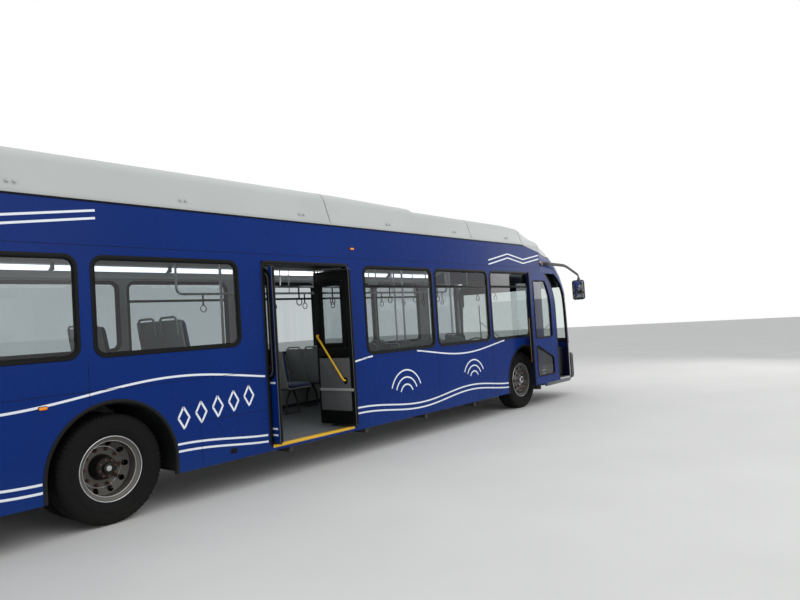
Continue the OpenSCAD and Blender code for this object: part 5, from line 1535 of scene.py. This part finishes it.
# Front beam: the section carried along the nose, its share 0 on the body and 1 on the outline. Rear beam:
# a section whose depth falls off with the square of the way into the corner
def makeBumpers():
    d = bumperData
    outer = nosePath(bus["noseX"], bus["halfW"], d["r"], d["startX"], d["columns"])
    inner = nosePath(bus["bodyFront"] + 0.001, bus["halfW"] - 0.001, 0.285, d["startX"], d["columns"])
    z0, z1 = d["z0"], d["z1"]
    section = [(0.0, z0), (0.70, z0), (0.90, z0 + 0.012), (0.97, z0 + 0.04), (1.0, z0 + 0.09),
               (1.0, z0 + 0.20), (0.955, z0 + 0.208), (0.955, z0 + 0.222), (1.0, z0 + 0.23),
               (0.99, z1 - 0.05), (0.94, z1 - 0.015), (0.80, z1), (0.0, z1)]
    rings = [np.array([[*(i + (o - i) * k), z] for k, z in section]) for i, o in zip(inner, outer)]
    front = loftPart(np.stack(rings))
    y = np.linspace(-1.283, 1.283, 61)
    bulge = np.clip((np.abs(y) - 1.16) / 0.12, 0, 1) ** 2 * 0.045
    back = [(0.0, 0.432), (0.0, 0.602), (-0.034, 0.602), (-0.046, 0.590), (-0.050, 0.56), (-0.043, 0.523),
            (-0.043, 0.511), (-0.050, 0.50), (-0.049, 0.455), (-0.040, 0.434)]
    rings = [np.array([[-6.390 + min(a + b, 0), k, z] for a, z in back]) for k, b in zip(y, bulge)]
    rear = loftPart(np.stack(rings))
    makePiece("bumperSkins", [front, rear], bumperSkin, "body", ("bumpers",), sharp=35)


makeBumpers()


# Headlamps: a bright bowl behind a domed clear lens with a dark bezel, two on each side
lampData = dict(y=(0.76, 0.93), z=0.69)


# Each lamp is lathed about X at the origin, turned to face along the nose's normal and moved to its place
def makeHeadLamps():
    d = lampData
    flat = bus["halfW"] - bumperData["r"]
    bowl = [(0.001, -0.012), (0.020, -0.010), (0.030, -0.004), (0.032, 0.003), (0.036, 0.003),
            (0.040, -0.004), (0.056, 0.000), (0.066, 0.006), (0.066, -0.02), (0.001, -0.02)]
    lens = [(0.066, 0.006), (0.058, 0.012), (0.044, 0.0165), (0.022, 0.019), (0.001, 0.020), (0.001, 0.017),
            (0.022, 0.016), (0.043, 0.0135), (0.056, 0.009), (0.063, 0.005)]
    bezel = [(0.064, -0.02), (0.064, 0.007), (0.068, 0.013), (0.078, 0.013), (0.084, 0.006), (0.086, -0.02)]
    bulb = [(0.001, 0.008), (0.009, 0.006), (0.012, 0.0), (0.012, -0.012), (0.001, -0.012)]
    for name, profile, steps, loop, material, slot, replaced in (
            ("headLampBowls", bowl, 48, True, lampBowl, "lamp_clear", ("clear_lamps",)),
            ("headLampLenses", lens, 48, False, lensClear, "lamp_clear", ()),
            ("headLampBezels", bezel, 48, True, blackEnamel, "black_frame", ()),
            ("headLampBulbs", bulb, 20, True, lightStrip, "lamp_clear", ())):
        parts = []
        for side in (-1, 1):
            for y in d["y"]:
                at = (bus["noseX"] - frontBow * (y / flat) ** 2, side * y, d["z"])
                turn = side * math.degrees(math.atan(2 * frontBow * y / flat ** 2))
                parts.append(placedPart(lathePart(profile, (0, 0, 0), "x", steps, loop), 0, turn, at))
        makePiece(name, parts, material, "body", replaced)


makeHeadLamps()


# Domed lens of radius r that stands out by high along its axis, the way that way says
def domePart(centre, axis, way, r, high, steps=36):
    profile = [(0.001, 1), (0.4 * r, 0.95), (0.7 * r, 0.78), (0.9 * r, 0.45), (0.98 * r, 0.15), (r, 0),
               (0.001, 0)]
    return lathePart([(a, way * high * b) for a, b in profile], centre, axis, steps)


# Tail lamps in a column with an amber turn lamp above; side and roof markers are small capsules
def makeSignals():
    red, amber, white, rims = [], [], [], []
    bar = lambda y: blockPart((-6.402, y - 0.035, 2.82), (-6.389, y + 0.035, 2.846), 0.005, "yz", 0.012)
    ring = circleRing(0.005, 10)
    rim = np.stack([0.060 + ring[:, 0], -0.002 + ring[:, 1] * 1.2], 1)
    for side in (-1, 1):
        for z, group in ((0.80, white), (0.96, red), (1.12, red), (1.28, amber)):
            at = (-6.392, side * 1.13, z)
            group.append(domePart(at, "x", -1, 0.056, 0.015))
            rims.append(lathePart(rim, at, "x", 48, loop=True))
        y = side * bus["halfW"]
        for x, z in ((-0.241, 2.654), (4.962, 2.636), (-4.12, 1.134), (-5.95, 2.654)):
            amber.append(slabPart((x - 0.035, y, z - 0.013), (x + 0.035, y + side * 0.013, z + 0.013),
                                  0.005, "xz", 0.012))
            rims.append(slabPart((x - 0.041, y, z - 0.018), (x + 0.041, y + side * 0.004, z + 0.018),
                                 0.002, "xz", 0.015))
        red += [bar(side * y) for y in (0.35, 0.6, 1.05)]
    red.append(bar(0))
    makePiece("redLamps", red, redLens, "body", ("signal_lamps",))
    makePiece("amberLamps", amber, amberLens, "body")
    makePiece("reversingLamps", white, lampBowl, "body")
    makePiece("lampRims", rims, sealRubber, "body")


makeSignals()


# Mirrors: a bent tube from the brow, a clamp, a rounded shell and an inset bright face to the rear
mirrorData = dict(x=(6.20, 6.31), y=1.465, z=(1.90, 2.30), halfW=0.13, faceW=0.112,
                  arm=((4.998, 1.270, 2.608), (5.13, 1.355, 2.612), (5.82, 1.395, 2.590),
                       (6.26, 1.465, 2.400), (6.26, 1.465, 2.285)))


# The shell's round rectangles draw in by 85 mm ((s - 0.12) / 0.88)^2.4 over the share s of its depth
def makeMirrors():
    d = mirrorData
    (x0, x1), (z0, z1), half, wide = d["x"], d["z"], d["halfW"], d["faceW"]
    share = np.linspace(0, 1, 15)
    inset = 0.085 * (np.clip(share - 0.12, 0, 1) / 0.88) ** 2.4
    inset[0] = 0.006
    arms, shells, faces, clamps = [], [], [], []
    for side in (-1, 1):
        y = side * d["y"]
        line = bentPath(np.array(d["arm"]) * [1, side, 1], 0.12, 8)
        arms.append(sweepPart(line, roundRing(-0.034, 0.034, -0.014, 0.014, 0.0135, 5), up=(0, 1, 0),
                              scale=np.linspace(1.0, 0.62, len(line))))
        rings = [inPlane(roundRing(y - half + k, y + half - k, z0 + k, z1 - k, 0.05, 7), "yz", x)
                 for k, x in zip(inset, x0 + (x1 - x0) * share)]
        shells.append(loftPart(np.stack(rings)))
        for low, high, r in ((z0 + 0.140, z1 - 0.018, 0.035), (z0 + 0.018, z0 + 0.125, 0.03)):
            faces.append(blockPart((x0 - 0.003, y - wide, low), (x0 + 0.004, y + wide, high), 0.002, "yz", r))
        sleeve = [(0.017, -0.03), (0.028, -0.026), (0.030, 0.0), (0.028, 0.03), (0.017, 0.034)]
        clamps.append(lathePart(sleeve, (6.26, y, 2.315), "z", 24, loop=True))
        root = [(0.001, 0.0), (0.042, 0.0), (0.046, 0.008), (0.040, 0.022), (0.02, 0.026), (0.001, 0.026)]
        clamps.append(lathePart([(a, side * b) for a, b in root], (5.0, side * 1.292, 2.608), "y", 28))
    makePiece("mirrorArms", arms, mirrorShell, "body", ("mirrors",))
    makePiece("mirrorShells", shells, mirrorShell, "body", sharp=50)
    makePiece("mirrorFaces", faces, lampBowl, "body")
    makePiece("mirrorClamps", clamps, castMetal, "body")


makeMirrors()


# Black border printed round the windscreen in four patches, its rubber, and wipers on turned hubs
def makeScreenTrim():
    d = frontData
    low, high = d["screenZ0"], d["screenZ1"]
    edge = lambda x: (lambda z: shareAtX(z, x))
    over = lambda x: (lambda z: 1 - shareAtX(z, x))
    z0, z1 = low + 0.083, high - 0.338
    border = [frontPatch(low + 0.004, low + 0.085, edge(5.955), over(5.955), 4, 120),
              frontPatch(high - 0.34, high - 0.004, edge(5.955), over(5.955), 9, 120),
              frontPatch(z0, z1, edge(5.955), edge(6.02), 40, 5),
              frontPatch(z0, z1, over(6.02), over(5.955), 40, 5)]
    border = [shellPart(points, 0.003) for points in border]
    makePiece("screenBorder", border, blankSign, "body", sharp=50)
    z = np.linspace(low, high, 40)
    v0, v1 = shareAtX(z, d["screenX"]), 1 - shareAtX(z, d["screenX"])
    over = frontAt(np.full(90, high), np.linspace(v0[-1], v1[-1], 92)[1:-1])
    under = frontAt(np.full(90, low), np.linspace(v1[0], v0[0], 92)[1:-1])
    rim = np.vstack([frontAt(z, v0), over, frontAt(z[::-1], v1[::-1]), under])
    rubber = sweepPart(rim, circleRing(0.009, 8), up=(1, 0, 0.0001), loop=True)
    makePiece("screenRubber", [rubber], sealRubber, "body", sharp=60)
    hub = [(0.001, -0.02), (0.022, -0.02), (0.024, 0.0), (0.018, 0.014), (0.001, 0.016)]
    blade = [(-0.005, -0.012), (0.005, -0.012), (0.009, 0.004), (0.004, 0.012), (-0.004, 0.012),
             (-0.009, 0.004)]
    arms, blades = [], []
    for side in (-1, 1):
        foot = frontAt(np.array([1.035]), np.array([0.5 + side * 0.052]))[0] + [0.02, 0, 0]
        tip = frontAt(np.array([1.55]), np.array([0.5 + side * 0.19]))[0] + [0.028, 0, 0]
        arms.append(sweepPart(np.linspace(foot, tip, 12), roundRing(-0.007, 0.007, -0.004, 0.004, 0.003, 3),
                              up=(1, 0, 0)))
        arms.append(lathePart(hub, foot, "x", 20))
        line = frontAt(np.linspace(1.13, 1.93, 30), np.full(30, 0.5 + side * 0.19)) + [0.016, 0, 0]
        blades.append(sweepPart(line, blade, up=(1, 0, 0)))
    makePiece("wiperArms", arms, blackEnamel, "body")
    makePiece("wiperBlades", blades, sealRubber, "body")
    signs = [blockPart((3.24, -1.262, 2.19), (4.36, -1.235, 2.40), 0.006, "xz", 0.02)]
    makePiece("sideSign", signs, blankSign, "body")


makeScreenTrim()


# Front doorway: a thin black lining along the door's edge curve, over its head and down the rear jamb,
# and a bright strip down the front post's edge
def makeFrontDoorway():
    top = np.array([2.425])
    z = np.linspace(bus["sillZ"] + 0.01, top[0], 70)
    edge = frontAt(z, shareAtX(z, doorEdgeX(z)))
    lining = [(-0.0016, -0.046), (0.0016, -0.046), (0.0016, -0.001), (-0.0016, -0.001)]
    seal = sweepPart(edge - [0.0015, 0, 0], lining, up=(0, -1, 0))
    z = z[z < 2.0]
    face = frontAt(z, shareAtX(z, doorEdgeX(z) + 0.026))
    strip = sweepPart(face, roundRing(-0.015, 0.015, -0.003, 0.003, 0.0028, 3), up=(0, -1, 0))
    jamb = blockPart((bus["jambX"] - 0.004, -1.297, 0.40), (bus["jambX"] + 0.0015, -1.262, 2.43), 0.001, "xy")
    shares = np.linspace(0.001, shareAtX(top, doorEdgeX(top))[0], 20)
    head = sweepPart(frontAt(np.full(20, 2.43), shares) - [0, 0, 0.0015], lining, up=(0, -1, 0))
    makePiece("frontDoorwaySeal", [seal, head, jamb], sealRubber, "body", sharp=60)
    makePiece("frontDoorwayStrip", [strip], brightSteel, "body")


makeFrontDoorway()
print("bumpers, lamps, mirrors and windscreen trim made")


# Rear: louvre blades and latches on the engine door, a slatted grille in the upper panel, a blank sign
def makeRear():
    blades = [blockPart((-6.388, y + 0.003, z - 0.002), (-6.368, y + 0.707, z + 0.010), 0.003, "xz")
              for y in (-0.80, 0.09) for z in 0.742 + 0.064 * np.arange(9)]
    latches = [blockPart((-6.402, y - 0.03, 0.645), (-6.394, y + 0.03, 0.672), 0.003, "yz", 0.008)
               for y in (-0.55, 0.0, 0.55)]
    makePiece("engineDoorBlades", blades, blackEnamel, "engine_door")
    makePiece("engineDoorLatches", latches, stainlessTube, "engine_door")
    upper = [blockPart((-6.404, -0.92, z), (-6.392, 0.92, z + 0.026), 0.005, "xz")
             for z in np.linspace(1.62, 2.32, 15)]
    section = [(-0.02, -0.001), (0.02, -0.001), (0.018, 0.010), (0.008, 0.014), (-0.008, 0.014),
               (-0.018, 0.010)]
    around = inPlane(roundRing(-0.97, 0.97, 1.57, 2.40, 0.09, 8), "yz", -6.39)
    frame = sweepPart(around, section, up=(-1, 0, 0), loop=True)
    back = blockPart((-6.394, -0.96, 1.58), (-6.389, 0.96, 2.39), 0.002, "yz", 0.08)
    makePiece("rearGrille", upper + [frame], blackEnamel, "body")
    makePiece("rearGrilleBack", [back], sealRubber, "body")
    sign = [blockPart((-6.400, -0.52, 2.50), (-6.389, 0.52, 2.72), 0.004, "yz", 0.03)]
    makePiece("rearSign", sign, blankSign, "body")


makeRear()
print("rear made")


# Camera solved from the photo: place in metres, yaw from +Y towards +X, pitch and roll in degrees
cameraData = dict(place=(-6.535, -7.172, 1.669), yaw=50.86, pitch=1.91, roll=-3.57, lens=29.97, sensor=36.0)


# The camera's axes are worked out from its three angles and put into its matrix
def addCamera():
    yaw, pitch, roll = (math.radians(cameraData[k]) for k in ("yaw", "pitch", "roll"))
    ahead = np.array([math.sin(yaw) * math.cos(pitch), math.cos(yaw) * math.cos(pitch), math.sin(pitch)])
    right = np.array([math.cos(yaw), -math.sin(yaw), 0.0])
    above = np.cross(right, ahead)
    c, s = math.cos(roll), math.sin(roll)
    right, above = c * right + s * above, -s * right + c * above
    matrix = Matrix.Identity(4)
    for row in range(3):
        matrix[row][0], matrix[row][1], matrix[row][2] = right[row], above[row], -ahead[row]
        matrix[row][3] = cameraData["place"][row]
    data = bpy.data.cameras.new("photoCamera")
    data.lens, data.sensor_width = cameraData["lens"], cameraData["sensor"]
    data.clip_end = 200
    camera = bpy.data.objects.new("photoCamera", data)
    bpy.context.scene.collection.objects.link(camera)
    camera.matrix_world = matrix
    bpy.context.scene.camera = camera


lightData = dict(worldStrength=0.85, worldHex="#f3f5f8", floorHex=("#d2d2cf", "#c6c6c3"),
                 lamps=[("overheadLamp", (0, -3.0, 9.0), (0, 0, 1.0), 14.0, 330.0),
                        ("kerbLamp", (-2.0, -12.0, 6.0), (0, 0, 1.5), 9.0, 260.0),
                        ("frontLamp", (13.0, -4.0, 5.0), (3, 0, 1.5), 6.0, 200.0),
                        ("streetLamp", (0.0, 12.0, 6.0), (0, 0, 1.5), 8.0, 300.0)])


# A soft pale world that shows as white to the camera and in reflections, a floor and four area lamps
def addStage():
    world = bpy.data.worlds.new("softStudio")
    bpy.context.scene.world = world
    world.use_nodes = True
    tree = world.node_tree
    tree.nodes.clear()
    rays = addNode(tree, "LightPath")
    seen = addNode(tree, "Math", {0: rays.outputs["Is Camera Ray"], 1: rays.outputs["Is Transmission Ray"]},
                   operation="MAXIMUM")
    mirrored = addNode(tree, "Math", {0: seen.outputs[0], 1: rays.outputs["Is Glossy Ray"]},
                       operation="MAXIMUM")
    white = addNode(tree, "Background", {"Color": (1, 1, 1, 1), "Strength": 1.0})
    soft = addNode(tree, "Background", {"Color": linearHex(lightData["worldHex"]),
                                        "Strength": lightData["worldStrength"]})
    mixed = addNode(tree, "MixShader", {0: mirrored.outputs[0], 1: soft.outputs[0], 2: white.outputs[0]})
    addNode(tree, "OutputWorld", {"Surface": mixed.outputs[0]})
    floorMaterial = surfaceMaterial("paleConcreteFloor", *lightData["floorHex"], 1500, 40, 0.85, 0.05)
    grid = np.linspace(-60, 60, 3)
    corner = np.stack(np.meshgrid(grid, grid, indexing="ij"), -1)
    points = np.concatenate([corner, np.zeros((3, 3, 1))], -1)
    mesh = bpy.data.meshes.new("studioFloor")
    flat, quads, _ = gridPart(points)
    mesh.from_pydata(flat.tolist(), [], quads.tolist())
    mesh.materials.append(floorMaterial)
    floor = bpy.data.objects.new("studioFloor", mesh)
    bpy.context.scene.collection.objects.link(floor)
    for name, place, target, size, watts in lightData["lamps"]:
        data = bpy.data.lights.new(name, "AREA")
        data.size, data.energy = size, watts
        lamp = bpy.data.objects.new(name, data)
        bpy.context.scene.collection.objects.link(lamp)
        back = np.array(place, float) - np.array(target, float)
        lamp.matrix_world = Matrix.Translation(place) @ (
            Vector(back).to_track_quat("Z", "Y").to_matrix().to_4x4())


addCamera()
addStage()
bpy.context.scene.view_settings.view_transform = "Standard"
print("camera, lamps and floor made")
